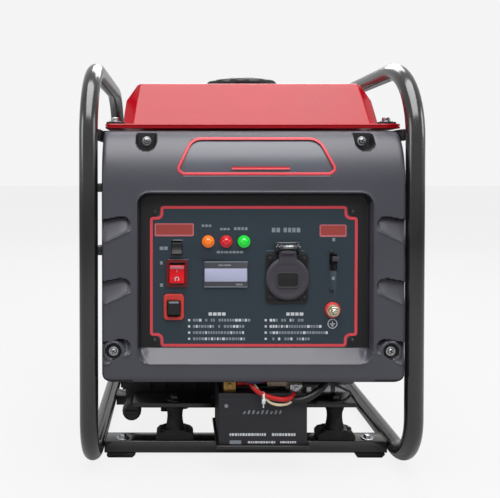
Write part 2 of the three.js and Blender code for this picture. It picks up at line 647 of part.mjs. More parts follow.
const cutY = [PLATE_FRONT - 2, PLATE_BACK + 2];
const opening = ([x, z], width, height) => prism(roundRect(x, z, width, height, 1, 2), 'y', ...cutY);
const facePlate = cut(
  prism(roundRect(PLATE_X, PLATE_Z, PLATE_W - 2 * GAP, PLATE_H - 2 * GAP, 4.7, 3), 'y', PLATE_FRONT,
    PLATE_BACK - GAP),
  rod('y', 23, ...cutY, ...OUTLET, 28),
  opening(METER, 46, 27),
  opening(ROCKER, 21, 28),
  opening(ECO, 13, 17),
  opening(RESET, 20, 26),
  opening(BREAKER, 9, 20),
  ...Object.values(LAMPS).map((x) => rod('y', 5.3, ...cutY, x, LAMP_Z, 12)),
  rod('y', 3.8, ...cutY, ...EARTH, 10),
);
place('face_plate', facePlate, finish(0x33404a, 0.45, 0.2));

// A flanged insert: a rim on the plate's face and a body through its cut-out.
const RIM_BACK = PLATE_FRONT - GAP;
function insert([x, z], rim, body, depth, rimFront = 3, radius = 2) {
  return join(
    prism(roundRect(x, z, ...rim, radius, 2), 'y', RIM_BACK - rimFront, RIM_BACK),
    prism(roundRect(x, z, ...body, 0.8, 2), 'y', RIM_BACK - 1, RIM_BACK + depth),
  );
}

place('meter', insert(METER, [52, 32], [45.4, 26.4], 18, 2), darkPlastic());

for (const [colour, x] of Object.entries(LAMPS)) {
  const hex = { orange: 0xff8a1a, red: 0xe81a24, green: 0x1fc92d }[colour];
  const lamp = turned([[0, -194.5], [3, -194], [5.4, -192], [6.8, -189], [7.4, RIM_BACK], [4.6, RIM_BACK],
    [4.6, -172], [0, -172]], 'y', x, LAMP_Z, 16);
  place(`pilot_lamp_${colour}`, lamp, finish(hex, 0.25, 0));
}

// Red start rocker pivoting in its frame.
const rockerPocket = prism(roundRect(...ROCKER, 18.6, 25, 1, 2), 'y', -195, -176);
place('start_switch_frame', cut(insert(ROCKER, [25, 33], [20.4, 27.4], 20), rockerPocket), redPlastic());
const rockerSide = [[-177.4, ROCKER[1] - 3.6], [-177.4, ROCKER[1] + 3.6], [-188.5, ROCKER[1] + 10.2],
  [-190.4, ROCKER[1] + 9.6], [-190.5, ROCKER[1]], [-193.6, ROCKER[1] - 10.5], [-191.5, ROCKER[1] - 11.6]];
place('start_rocker', prism(rockerSide, 'x', ROCKER[0] - 8.9, ROCKER[0] + 8.9), redPlastic());

// Small economy-mode rocker straight in the plate's cut-out.
const ecoSide = [[-178, ECO[1] - 3], [-178, ECO[1] + 3], [-189, ECO[1] + 6.9], [-190.2, ECO[1] + 6.4],
  [-189.6, ECO[1]], [-192.6, ECO[1] - 6.8], [-190.5, ECO[1] - 7.6]];
place('economy_rocker', prism(ecoSide, 'x', ECO[0] - 6.1, ECO[0] + 6.1), darkPlastic());

// Thermal cut-out with a push-to-reset button.
const resetPocket = prism(roundRect(...RESET, 15.4, 17.4, 1, 2), 'y', -195, -176);
place('reset_frame', cut(insert(RESET, [24, 31], [19.4, 25.4], 20, 3, 4), resetPocket), redPlastic());
place('reset_button', prism(roundRect(...RESET, 14.6, 16.6, 2, 2), 'y', -194.5, -181), darkPlastic());

// Breaker lever standing up in its slot.
const toggleSide = [[-176, BREAKER[1] - 3], [-176, BREAKER[1] + 3], [-186, BREAKER[1] + 6],
  [-198, BREAKER[1] + 8.5], [-198, BREAKER[1] + 3.5], [-186, BREAKER[1] - 3]];
place('breaker_toggle', prism(toggleSide, 'x', BREAKER[0] - 3.5, BREAKER[0] + 3.5), darkPlastic());

// Round socket behind a spring lid that hangs from a pin at its top.
const HINGE_Z = 278;
const HINGE_Y = -193;
const socketBody = cut(
  join(
    prism(roundRect(OUTLET[0], 241, 50, 60, 3, 2), 'y', RIM_BACK - 2, RIM_BACK),
    rod('y', 22.5, RIM_BACK - 1, -160, ...OUTLET, 28),
    ...[-1, 1].map((s) => prism([[RIM_BACK, HINGE_Z - 10], [-189, HINGE_Z - 10], [-196, HINGE_Z - 3],
      [-196, HINGE_Z + 1], [-190, HINGE_Z + 5.5], [RIM_BACK, HINGE_Z + 5.5]].reverse(), 'x',
    OUTLET[0] + s * 12 - 1.5, OUTLET[0] + s * 12 + 1.5)),
    rod('x', 1.5, OUTLET[0] - 12, OUTLET[0] + 12, HINGE_Y, HINGE_Z, 8),
  ),
  rod('y', 19.5, -195, -166, ...OUTLET, 24),
);
place('outlet_socket', socketBody, darkPlastic());

const lidBack = RIM_BACK - 2 - GAP;
const lid = cut(
  join(
    rod('y', 25.8, lidBack - 4, lidBack, ...OUTLET, 32),
    prism(roundRect(OUTLET[0], 268, 20, 20, 2, 2), 'y', lidBack - 4, lidBack),
    rod('x', 3.4, OUTLET[0] - 9.8, OUTLET[0] + 9.8, HINGE_Y, HINGE_Z, 12),
    prism(roundRect(OUTLET[0], OUTLET[1] - 0.5, 26.7, 20, 4, 3), 'y', lidBack - 6.5, lidBack - 3),
  ),
  rod('x', 1.9, OUTLET[0] - 11, OUTLET[0] + 11, HINGE_Y, HINGE_Z, 8),
);
place('outlet_lid', lid, blackPlastic());

const earthStud = turned([[0, -200], [2.5, -200], [3, -199], [3, -189], [8, -189], [8, RIM_BACK], [3, RIM_BACK],
  [3, -174], [0, -174]], 'y', ...EARTH, 16);
place('earth_stud', earthStud, finish(0xc9a24a, 0.35, 1));
const terminalNut = cut(
  rod('y', 6.5, -197, -189 - GAP, ...EARTH, 6),
  rod('y', 3.4, -202, -186, ...EARTH, 12),
);
place('earth_nut', terminalNut, finish(0xd0b060, 0.35, 1));

// ---------------------------------------------------------------- battery
const BATTERY = [-38, 68.5, -181, -101];
const BATTERY_LOW = 36.3;
const BATTERY_TOP = 103;
const battery = join(
  box(...BATTERY, BATTERY_LOW, BATTERY_TOP - 8),
  box(BATTERY[0] + 2, BATTERY[1] - 2, BATTERY[2] + 2, BATTERY[3] - 2, BATTERY_TOP - 9, BATTERY_TOP),
  box(BATTERY[0] + 6, BATTERY[0] + 21, -176, -164, BATTERY_TOP - 1, BATTERY_TOP + 10),
  box(BATTERY[1] - 20, BATTERY[1] - 5, -176, -164, BATTERY_TOP - 1, BATTERY_TOP + 6),
);
place('battery', battery, darkPlastic());

const TRAY_TOP = BATTERY_LOW - GAP;
const tray = cut(
  join(box(BATTERY[0] - 3, BATTERY[1] + 3, -184, -98, TRAY_TOP - 2.5, TRAY_TOP + 2),
    box(-30, 55, -131, -106, RAIL_TOP + GAP, TRAY_TOP - 1)),
  box(BATTERY[0] - GAP, BATTERY[1] + GAP, BATTERY[2] - GAP, BATTERY[3] + GAP, TRAY_TOP, TRAY_TOP + 10),
);
place('battery_tray', tray, blackPaint());

// Leads clipped between battery, starter and crankcase.
const LEAD_GAP = 1.1;            // the leads leave their terminals at a slight slant
const leadPositive = tube([[BATTERY[0] + 21 + LEAD_GAP, -170, 109], [40, -158, 109], [84, -130, 106], [92, -108, 104],
  [92, -108, 98.6 + GAP]], [20, 14, 3.5], 3, 8, 3);
place('battery_lead_positive', leadPositive, finish(0xc01818, 0.5, 0));
const leadNegative = tube([[BATTERY[1] - 5 + LEAD_GAP, -170, 107.2], [110, -160, 107.2], [137, -130, 98], [137, -84, 88],
  [137, -84, BED_TOP + GAP]], [16, 14, 10], 3.5, 8, 3);
place('battery_lead_negative', leadNegative, rubber());

export default generator;
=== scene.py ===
"""Open-frame inverter generator: the finished look of each piece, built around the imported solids."""

import json
import math
import random

import bmesh
import bpy
import numpy as np
from bpy.props import FloatProperty, FloatVectorProperty, IntProperty, PointerProperty
from bpy.types import NodeSocket, Operator, Panel, PropertyGroup
from mathutils import Matrix, Vector


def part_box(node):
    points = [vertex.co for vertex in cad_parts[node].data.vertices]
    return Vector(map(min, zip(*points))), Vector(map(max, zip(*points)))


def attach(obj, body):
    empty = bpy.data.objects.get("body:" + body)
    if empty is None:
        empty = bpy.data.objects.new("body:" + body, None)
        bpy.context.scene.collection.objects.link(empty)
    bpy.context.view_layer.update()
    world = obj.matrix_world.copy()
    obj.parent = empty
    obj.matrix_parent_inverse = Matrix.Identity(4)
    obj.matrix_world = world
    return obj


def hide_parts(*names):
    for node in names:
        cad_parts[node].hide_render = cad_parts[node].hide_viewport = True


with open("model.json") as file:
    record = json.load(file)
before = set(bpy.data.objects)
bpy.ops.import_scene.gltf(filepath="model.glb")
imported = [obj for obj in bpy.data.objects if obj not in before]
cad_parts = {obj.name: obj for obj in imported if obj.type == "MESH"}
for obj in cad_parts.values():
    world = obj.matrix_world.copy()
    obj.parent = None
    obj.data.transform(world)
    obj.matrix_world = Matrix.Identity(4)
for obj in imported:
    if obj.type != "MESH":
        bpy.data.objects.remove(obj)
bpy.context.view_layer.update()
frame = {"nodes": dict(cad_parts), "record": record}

bl_info = {
    "name": "Inverter generator",
    "version": (1, 0, 0),
    "blender": (4, 5, 0),
    "location": "View3D > Sidebar > Generator",
    "description": "Builds the finished pieces of an open-frame inverter generator",
    "category": "Object",
}

MM = 0.001
SHARP = 35.0

# Places that several pieces share, in millimetres.
SHAFT_Y, SHAFT_Z = -15.0, 172.0
SCREW_MIDDLE, SCREW_HALF, SCREW_Z, SCREW_SEAT = 5.0, 130.0, 404.0, -171.0
LOW_SCREW_X, LOW_SCREW_Z = 163.0, 156.0
BADGE_SHIFT, BADGE_TOP, BADGE_LOW, BADGE_KNEE = 1.8, 406.5, 364.5, 369.5
BADGE_HALF_TOP, BADGE_HALF_KNEE = 75.0, 92.4

BODY_OF = {
    node: body
    for body, nodes in frame["record"]["behaviour"]["bodies"].items()
    for node in nodes
}


class Box:
    """A solid's extent in millimetres."""

    def __init__(self, node):
        low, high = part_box(node)
        self.x0, self.y0, self.z0 = (v / MM for v in low)
        self.x1, self.y1, self.z1 = (v / MM for v in high)
        self.cx = (self.x0 + self.x1) / 2
        self.cy = (self.y0 + self.y1) / 2
        self.cz = (self.z0 + self.z1) / 2
        self.sx = self.x1 - self.x0
        self.sy = self.y1 - self.y0
        self.sz = self.z1 - self.z0


# ---------------------------------------------------------------- colours and materials


def srgb(code):
    """Linear colour from an sRGB hex code."""
    parts = [int(code[i : i + 2], 16) / 255 for i in (1, 3, 5)]
    return tuple(
        p / 12.92 if p <= 0.04045 else ((p + 0.055) / 1.055) ** 2.4 for p in parts
    ) + (1.0,)


def shade(colour, factor):
    """The colour made lighter or darker."""
    return tuple(min(1.0, c * factor) for c in colour[:3]) + (1.0,)


def add(tree, kind, inputs=None, **settings):
    """Adds a node, applies its settings, and fills or links its inputs."""
    item = tree.nodes.new(kind)
    for key, value in settings.items():
        setattr(item, key, value)
    for key, value in (inputs or {}).items():
        if isinstance(value, NodeSocket):
            tree.links.new(value, item.inputs[key])
        else:
            item.inputs[key].default_value = value
    return item


def noise(tree, size_mm, detail=3.0, rough=0.5, stretch=(1, 1, 1)):
    """Noise in object space whose features are about size_mm across."""
    where = add(tree, "ShaderNodeTexCoord").outputs["Object"]
    spread = add(tree, "ShaderNodeMapping", {"Vector": where, "Scale": stretch})
    return add(
        tree,
        "ShaderNodeTexNoise",
        {"Vector": spread.outputs[0], "Scale": 1 / (size_mm * MM), "Detail": detail, "Roughness": rough},
    ).outputs["Fac"]


def graded(tree, factor, low, high, start=0.0, end=1.0):
    """Factor carried from one range to another."""
    return add(
        tree,
        "ShaderNodeMapRange",
        {"Value": factor, "From Min": start, "From Max": end, "To Min": low, "To Max": high},
    ).outputs[0]


def mix_inputs(node):
    """The colour sockets of a Mix node."""
    return [s for s in node.inputs if s.type == "RGBA"]


def new_surface(name, **fixed):
    """A material with a Principled shader whose plain values are set on it directly."""
    material = bpy.data.materials.new(name)
    material.use_nodes = True
    tree = material.node_tree
    shader = next(n for n in tree.nodes if n.type == "BSDF_PRINCIPLED")
    for key, value in fixed.items():
        shader.inputs[key.replace("_", " ")].default_value = value
    return material, tree, shader


def blend_colour(tree, factor, first, second):
    """Mixes two colours by a factor."""
    mix = tree.nodes.new("ShaderNodeMix")
    mix.data_type = "RGBA"
    tree.links.new(factor, mix.inputs[0])
    for socket, value in zip(mix_inputs(mix), (first, second)):
        if isinstance(value, NodeSocket):
            tree.links.new(value, socket)
        else:
            socket.default_value = value
    return next(s for s in mix.outputs if s.type == "RGBA")


def bump(tree, shader, height, depth_mm, strength=1.0):
    """A bump of real depth on the shader's normal."""
    node = add(tree, "ShaderNodeBump", {"Height": height, "Distance": depth_mm * MM, "Strength": strength})
    tree.links.new(node.outputs[0], shader.inputs["Normal"])


def toned(tree, factor, colour, dark, light):
    """Varies a colour between a darker and a lighter shade of itself."""
    return blend_colour(tree, factor, shade(colour, dark), shade(colour, light))


def paint(tree, shader, tint, rough):
    """Wires a colour and a roughness into the shader."""
    tree.links.new(tint, shader.inputs["Base Color"])
    tree.links.new(rough, shader.inputs["Roughness"])


def powder_coat(name, code, rough=(0.26, 0.4), coat=0.5):
    """Steel under black powder coat: fine orange peel, dull patches where it is handled."""
    colour = srgb(code)
    material, tree, shader = new_surface(name, Specular_IOR_Level=0.6, Coat_Weight=coat,
                                         Coat_Roughness=0.16)
    patches = noise(tree, 38, 4)
    paint(tree, shader, toned(tree, patches, colour, 0.8, 1.35),
          graded(tree, patches, rough[0], rough[1], 0.3, 0.7))
    bump(tree, shader, noise(tree, 1.6, 2), 0.05, 0.5)
    return material


def enamel(name, code):
    """Pressed steel in glossy stoved enamel: long soft orange peel under a clear coat."""
    colour = srgb(code)
    material, tree, shader = new_surface(name, Coat_Weight=0.3, Coat_Roughness=0.08,
                                         Specular_IOR_Level=0.35)
    cloud = noise(tree, 60, 3)
    paint(tree, shader, toned(tree, cloud, colour, 0.82, 1.12), graded(tree, cloud, 0.24, 0.36))
    bump(tree, shader, noise(tree, 4.5, 2), 0.04, 0.35)
    return material


def moulded(name, code, rough=0.5, grain_mm=0.45, grain_depth=0.03, sheen=1.25, gloss=0.5):
    """Injection-moulded plastic: spark-eroded grain, faint flow shading."""
    colour = srgb(code)
    material, tree, shader = new_surface(name, Specular_IOR_Level=gloss)
    flow = noise(tree, 70, 3, stretch=(1, 1, 2.2))
    paint(tree, shader, toned(tree, flow, colour, 0.88, sheen),
          graded(tree, flow, rough - 0.07, rough + 0.07))
    bump(tree, shader, noise(tree, grain_mm, 2, 0.6), grain_depth, 0.6)
    return material


def rubber(name):
    """Moulded rubber: matt, with a little pale dust in its broad patches."""
    material, tree, shader = new_surface(name, Specular_IOR_Level=0.35)
    dust = graded(tree, noise(tree, 14, 5, 0.65), 0.0, 0.5, 0.52, 0.8)
    tint = blend_colour(tree, dust, srgb("#161617"), srgb("#55524D"))
    paint(tree, shader, tint, graded(tree, dust, 0.62, 0.85))
    bump(tree, shader, noise(tree, 0.8, 3), 0.04, 0.5)
    return material


def casting(name, code, metallic=1.0, rough=0.5):
    """Sand-cast alloy: coarse blasted grain, dark in the pits."""
    colour = srgb(code)
    material, tree, shader = new_surface(name, Metallic=metallic)
    grain = noise(tree, 1.1, 4, 0.65)
    paint(tree, shader, toned(tree, grain, colour, 0.6, 1.2),
          graded(tree, noise(tree, 12, 3), rough - 0.08, rough + 0.12))
    bump(tree, shader, grain, 0.12, 0.6)
    return material


def machined(name, code, rough=0.28, along=(1, 30, 30)):
    """Turned or drawn metal: fine lines across the work, slight stain."""
    colour = srgb(code)
    material, tree, shader = new_surface(name, Metallic=1.0)
    lines = noise(tree, 6, 2, stretch=along)
    paint(tree, shader, toned(tree, noise(tree, 9, 3), colour, 0.75, 1.1),
          graded(tree, lines, rough - 0.08, rough + 0.14))
    bump(tree, shader, lines, 0.01, 0.4)
    return material


def heat_paint(name):
    """Silencer steel in heat-resistant paint, browned in clouds."""
    material, tree, shader = new_surface(name, Metallic=0.55)
    stain = noise(tree, 32, 5, 0.6)
    tint = blend_colour(tree, graded(tree, stain, 0, 1, 0.42, 0.68), srgb("#6B6762"), srgb("#4A3A2C"))
    paint(tree, shader, tint, graded(tree, stain, 0.45, 0.7))
    bump(tree, shader, noise(tree, 1.0, 4), 0.06, 0.6)
    return material


def windings(name):
    """Varnished enamelled wire laid in turns 0.9 mm apart."""
    material, tree, shader = new_surface(name, Metallic=0.8, Coat_Weight=0.5)
    where = add(tree, "ShaderNodeTexCoord").outputs["Object"]
    wave = {"Vector": where, "Scale": 1 / (0.9 * MM) / 6.28, "Distortion": 1.2}
    turns = add(tree, "ShaderNodeTexWave", wave, bands_direction="X").outputs["Fac"]
    paint(tree, shader, toned(tree, turns, srgb("#9A5526"), 0.45, 1.3), graded(tree, turns, 0.3, 0.5))
    bump(tree, shader, turns, 0.25, 0.8)
    return material


def printed_sheet(name, code):
    """Screen-printed aluminium sheet: satin ink over a fine brushed grain."""
    colour = srgb(code)
    material, tree, shader = new_surface(name, Metallic=0.25, Specular_IOR_Level=0.5)
    brushed = noise(tree, 5, 3, stretch=(1, 1, 22))
    paint(tree, shader, toned(tree, brushed, colour, 0.9, 1.15),
          graded(tree, noise(tree, 45, 3), 0.36, 0.5))
    bump(tree, shader, brushed, 0.008, 0.4)
    return material


def ink(name, code, rough=0.5):
    """Screen-printing ink: slightly uneven film."""
    colour = srgb(code)
    material, tree, shader = new_surface(name)
    film = noise(tree, 2.2, 4, 0.6)
    paint(tree, shader, toned(tree, film, colour, 0.86, 1.06),
          graded(tree, film, rough - 0.06, rough + 0.1))
    return material


def lens(name, code, glow):
    """Tinted acrylic lamp lens: fluted inside, lit a little from behind."""
    colour = srgb(code)
    material, tree, shader = new_surface(
        name, Roughness=0.14, Coat_Weight=0.8, Emission_Strength=glow, Subsurface_Weight=0.25
    )
    shader.inputs["Subsurface Radius"].default_value = (0.004, 0.002, 0.002)
    depth = noise(tree, 2.6, 2)
    tint = toned(tree, depth, colour, 0.7, 1.25)
    tree.links.new(tint, shader.inputs["Base Color"])
    tree.links.new(tint, shader.inputs["Emission Color"])
    bump(tree, shader, depth, 0.05, 0.3)
    return material


MATERIALS = {}


def build_materials(look):
    """Makes every material once, from the colours that the user can change."""

    def code(values):
        return "#" + "".join(f"{round(255 * v):02X}" for v in values[:3])

    MATERIALS.update(
        tube=powder_coat("Powder coat black", code(look.frame_colour), (0.16, 0.26), 1.0),
        plate=powder_coat("Powder coat satin black", "#151516", (0.3, 0.42), 0.3),
        tank=enamel("Stoved enamel red", code(look.tank_colour)),
        housing=moulded("Moulded charcoal", code(look.panel_colour), 0.44, 0.6, 0.03, 1.2, 0.9),
        # The badge's field: smoother than the housing, and a lighter grey that is painted sheen.
        badge=moulded("Moulded grey with painted sheen", "#4A4D58", 0.32, 0.5, 0.01, 1.2, 0.8),
        # Near-black for the housing's recesses: painted shade.
        well=moulded("Moulded black and painted recess shade", "#0E0E12", 0.55, 0.5, 0.02, 1.1),
        black=moulded("Moulded black", "#121214", 0.4),
        cover=moulded("Moulded cover black", "#1E1E21", 0.5, 0.8, 0.05),
        lid=moulded("Moulded outlet grey", "#403D45", 0.46, 0.6, 0.02, 1.1),
        battery=moulded("Battery case polypropylene", "#242329", 0.46, 1.0, 0.04),
        red=moulded("Moulded signal red", "#D8061A", 0.28, 0.6, 0.01, 1.1),
        nylon=moulded("Moulded natural nylon", "#D9CDB4", 0.45, 0.6, 0.01, 1.05),
        rubber=rubber("Moulded rubber"),
        cast=casting("Sand-cast alloy", "#9B9D9F"),
        case=casting("Painted crankcase casting", "#131314", 0.2, 0.55),
        steel=machined("Machined steel", "#B4B6BA"),
        zinc=machined("Zinc-plated steel", "#C3C5C8", 0.24, (1, 1, 1)),
        brass=machined("Turned brass", "#A8874E", 0.3, (1, 12, 1)),
        nickel=machined("Nickel-plated nut", "#E6DCC4", 0.22, (1, 12, 1)),
        copper=windings("Varnished copper windings"),
        silencer=heat_paint("Silencer heat paint"),
        sheet=printed_sheet("Screen-printed sheet", code(look.plate_colour)),
        red_ink=ink("Screen ink red", code(look.outline_colour), 0.42),
        label_ink=ink("Screen ink label red", "#A8443E", 0.42),
        signal=moulded("Moulded reset red", "#D8403A", 0.36, 0.6, 0.01, 1.1),
        pink_ink=ink("Screen ink pale red", "#C9707A", 0.42),
        crimson=moulded("Moulded crimson", "#6E0A12", 0.32, 0.6, 0.01, 1.1),
        white_ink=ink("Screen ink white", "#D8DCE2"),
        # Grey print, also used for painted highlights.
        grey_ink=ink("Screen ink grey and painted highlights", "#8C939C"),
        display=ink("Liquid crystal display", "#BCBFDC", 0.3),
        orange_lens=lens("Acrylic lens orange", "#E8730C", 0.4),
        red_lens=lens("Acrylic lens red", "#CC0A1C", 0.25),
        green_lens=lens("Acrylic lens green", "#08C030", 0.6),
        cable_red=moulded("Cable sheath red", "#C4181C", 0.36, 0.8, 0.01),
        cable_blue=moulded("Cable sheath blue", "#1B2A57", 0.36, 0.8, 0.01),
        cable_cream=moulded("Cable sheath cream", "#DDCFAE", 0.4, 0.8, 0.01),
        cable_black=moulded("Cable sheath black", "#131315", 0.38, 0.8, 0.01),
        ptfe=moulded("Cable tie", "#D8DDE0", 0.3, 0.6, 0.005),
    )


# ---------------------------------------------------------------- shapes, in millimetres


def put(axis, a, b, along):
    """A point given across an axis and along it."""
    return {"x": (along, a, b), "y": (a, along, b), "z": (a, b, along)}[axis]


def soften(bm, width, steps=2, angle=30.0):
    """Rounds every edge sharper than the angle."""
    edges = [e for e in bm.edges if len(e.link_faces) == 2 and e.calc_face_angle(0) > math.radians(angle)]
    if edges and width > 0:
        bmesh.ops.bevel(
            bm, geom=edges, offset=width, offset_type="OFFSET", segments=steps,
            profile=0.5, affect="EDGES", clamp_overlap=True,
        )
    return bm


def prism(outline, axis, low, high, round_by=0.0, steps=2):
    """A solid with this outline across an axis, between two positions on it."""
    bm = bmesh.new()
    ends = [[bm.verts.new(put(axis, a, b, at)) for a, b in outline] for at in (low, high)]
    bm.faces.new(ends[0])
    bm.faces.new(ends[1])
    for i in range(len(outline)):
        j = (i + 1) % len(outline)
        bm.faces.new((ends[0][i], ends[0][j], ends[1][j], ends[1][i]))
    bmesh.ops.recalc_face_normals(bm, faces=bm.faces)
    return soften(bm, round_by, steps)


def block(x0, x1, y0, y1, z0, z1, round_by=0.0, steps=2):
    """A box between two corners."""
    return prism([(x0, y0), (x1, y0), (x1, y1), (x0, y1)], "z", z0, z1, round_by, steps)


def circle(radius, a=0.0, b=0.0, sides=32):
    """Points of a circle."""
    turns = [2 * math.pi * i / sides for i in range(sides)]
    return [(a + radius * math.cos(t), b + radius * math.sin(t)) for t in turns]


def round_rect(a, b, width, height, radius, steps=5):
    """Points of a rectangle with round corners."""
    points = []
    for quarter, (sa, sb) in enumerate(((1, 1), (-1, 1), (-1, -1), (1, -1))):
        for i in range(steps + 1):
            turn = (quarter + i / steps) * math.pi / 2
            points.append(
                (
                    a + sa * (width / 2 - radius) + radius * math.cos(turn),
                    b + sb * (height / 2 - radius) + radius * math.sin(turn),
                )
            )
    return points


def turned(profile, axis, a, b, sides=48, start=0.0):
    """A turned solid: the profile is (radius, position) pairs, the position counted from a start."""
    bm = bmesh.new()
    rings = []
    for radius, along in profile:
        at = start + along
        if radius < 1e-6:
            rings.append([bm.verts.new(put(axis, a, b, at))])
        else:
            rings.append([bm.verts.new(put(axis, p, q, at)) for p, q in circle(radius, a, b, sides)])
    for first, second in zip(rings, rings[1:]):
        for i in range(sides):
            j = (i + 1) % sides
            if len(first) == 1 and len(second) == 1:
                continue
            if len(first) == 1:
                bm.faces.new((first[0], second[j], second[i]))
            elif len(second) == 1:
                bm.faces.new((first[i], first[j], second[0]))
            else:
                bm.faces.new((first[i], first[j], second[j], second[i]))
    bmesh.ops.remove_doubles(bm, verts=bm.verts, dist=1e-5)
    bmesh.ops.recalc_face_normals(bm, faces=bm.faces)
    return bm


def smooth_line(points, steps):
    """A Catmull-Rom line through points."""
    pts = [Vector(p) for p in points]
    out = []
    for i, (p1, p2) in enumerate(zip(pts, pts[1:])):
        p0, p3 = pts[max(i - 1, 0)], pts[min(i + 2, len(pts) - 1)]
        for k in range(steps):
            t = k / steps
            out.append(
                0.5 * (2 * p1 + (p2 - p0) * t + (2 * p0 - 5 * p1 + 4 * p2 - p3) * t**2
                       + (3 * p1 - p0 - 3 * p2 + p3) * t**3)
            )
    return out + [pts[-1]]


def beside(line, i, closed):
    """The points before and after one point of a line, which may be closed."""
    count = len(line)
    before = line[(i - 1) % count] if closed or i else line[0]
    after = line[(i + 1) % count] if closed or i + 1 < count else line[-1]
    return before, after


def loft(levels, closed_ends=True, wrap=False):
    """A skin through outlines of equal count; wrap joins the last one to the first."""
    bm = bmesh.new()
    rings = [[bm.verts.new(p) for p in points] for points in levels]
    size = len(rings[0])
    for first, second in zip(rings, rings[1:] + (rings[:1] if wrap else [])):
        for i in range(size):
            j = (i + 1) % size
            bm.faces.new((first[i], first[j], second[j], second[i]))
    if closed_ends:
        bm.faces.new(rings[0])
        bm.faces.new(rings[-1])
    bmesh.ops.recalc_face_normals(bm, faces=bm.faces)
    return bm


def tube(points, radius, sides=20, closed=False):
    """A tube along a line of points."""
    line = [Vector(p) for p in points]
    tangents = []
    for i in range(len(line)):
        before, after = beside(line, i, closed)
        tangents.append((after - before).normalized())
    side = tangents[0].orthogonal().normalized()
    if abs(tangents[0].x) < 0.9:
        side = (Vector((1, 0, 0)) - tangents[0] * tangents[0].x).normalized()
    section = circle(1.0, sides=sides)
    levels = []
    for point, tangent in zip(line, tangents):
        side = (side - tangent * side.dot(tangent)).normalized()
        up = tangent.cross(side)
        levels.append([point + radius * (side * a + up * b) for a, b in section])
    return loft(levels, not closed, closed)


def bend(corners, radii, steps=10):
    """A line of corner points with each inner corner rounded to its radius."""
    pts = [Vector(p) for p in corners]
    out = [pts[0]]
    for before, corner, after, radius in zip(pts, pts[1:], pts[2:], radii):
        into = (corner - before).normalized()
        leave = (after - corner).normalized()
        turn = into.angle(leave)
        if turn < 1e-4:
            continue
        start = corner - into * radius * math.tan(turn / 2)
        side = (leave - into * leave.dot(into)).normalized()
        for k in range(steps + 1):
            angle = turn * k / steps
            out.append(start + radius * (into * math.sin(angle) + side * (1 - math.cos(angle))))
    out.append(pts[-1])
    return out


def ribbon(points, width, axis, low, high, closed=True, round_by=0.0):
    """A flat band of even width along a line, drawn across an axis."""
    pts = [Vector(p) for p in points]
    count = len(pts)
    left, right = [], []
    for i in range(count):
        before, after = beside(pts, i, closed)
        a = (pts[i] - before).normalized() if (pts[i] - before).length else (after - pts[i]).normalized()
        b = (after - pts[i]).normalized() if (after - pts[i]).length else a
        mid = (a + b).normalized()
        normal = Vector((-mid.y, mid.x))
        reach = width / 2 / max(0.5, abs(normal.dot(Vector((-a.y, a.x)))))
        left.append(pts[i] + normal * reach)
        right.append(pts[i] - normal * reach)
    bm = bmesh.new()
    layers = [
        [[bm.verts.new(put(axis, p.x, p.y, at)) for p in side] for side in (left, right)]
        for at in (low, high)
    ]
    for i in range(count if closed else count - 1):
        j = (i + 1) % count
        for layer in layers:
            bm.faces.new((layer[0][i], layer[0][j], layer[1][j], layer[1][i]))
        for k in (0, 1):
            bm.faces.new((layers[0][k][i], layers[0][k][j], layers[1][k][j], layers[1][k][i]))
    if not closed:
        for i in (0, count - 1):
            bm.faces.new((layers[0][0][i], layers[0][1][i], layers[1][1][i], layers[1][0][i]))
    bmesh.ops.recalc_face_normals(bm, faces=bm.faces)
    return soften(bm, round_by, 2, 50)


def moved(bm, matrix):
    """The shape carried by a matrix."""
    bmesh.ops.transform(bm, matrix=matrix, verts=bm.verts)
    return bm


def refined(node, edge=0.6, steps=2):
    """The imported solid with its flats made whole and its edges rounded."""
    bm = bmesh.new()
    bm.from_mesh(frame["nodes"][node].data)
    bmesh.ops.scale(bm, vec=(1 / MM,) * 3, verts=bm.verts)
    bmesh.ops.remove_doubles(bm, verts=bm.verts, dist=0.01)
    bmesh.ops.dissolve_limit(bm, angle_limit=math.radians(1), verts=bm.verts[:], edges=bm.edges[:])
    bmesh.ops.recalc_face_normals(bm, faces=bm.faces)
    return soften(bm, edge, steps, SHARP)


def piece(name, parts, stands_for, body=None):
    """One finished object from shapes and their materials; it rides on its solid's body."""
    stands_for = [stands_for] if isinstance(stands_for, str) else list(stands_for)
    whole = bmesh.new()
    used = []
    for bm, key in parts:
        if key not in used:
            used.append(key)
        for face in bm.faces:
            face.material_index = used.index(key)
            face.smooth = True
        part = bpy.data.meshes.new("part")
        bm.to_mesh(part)
        bm.free()
        whole.from_mesh(part)
        bpy.data.meshes.remove(part)
    mesh = bpy.data.meshes.new(name)
    whole.to_mesh(mesh)
    whole.free()
    for key in used:
        mesh.materials.append(MATERIALS[key])
    mesh.transform(Matrix.Scale(MM, 4))
    mesh.set_sharp_from_angle(angle=math.radians(SHARP))
    obj = bpy.data.objects.new(name, mesh)
    bpy.context.scene.collection.objects.link(obj)
    for node in stands_for:
        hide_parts(node)
    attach(obj, body or BODY_OF[stands_for[0]])
    return obj


def every(key, *shapes):
    """Shapes that share a material."""
    return [(shape, key) for shape in shapes]


def plain_piece(name, node, key, edge, steps=2):
    """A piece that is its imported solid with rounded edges."""
    piece(name, [(refined(node, edge, steps), key)], node)


# ---------------------------------------------------------------- node trees for repeated pieces


def node_group(name, inputs):
    """A geometry tree with named inputs; returns the tree, its input node and its output node."""
    tree = bpy.data.node_groups.new(name, "GeometryNodeTree")
    tree.interface.new_socket("Geometry", in_out="INPUT", socket_type="NodeSocketGeometry")
    for label, kind, value in inputs:
        socket = tree.interface.new_socket(label, in_out="INPUT", socket_type=kind)
        if value is not None:
            socket.default_value = value
    tree.interface.new_socket("Geometry", in_out="OUTPUT", socket_type="NodeSocketGeometry")
    return tree, tree.nodes.new("NodeGroupInput"), tree.nodes.new("NodeGroupOutput")


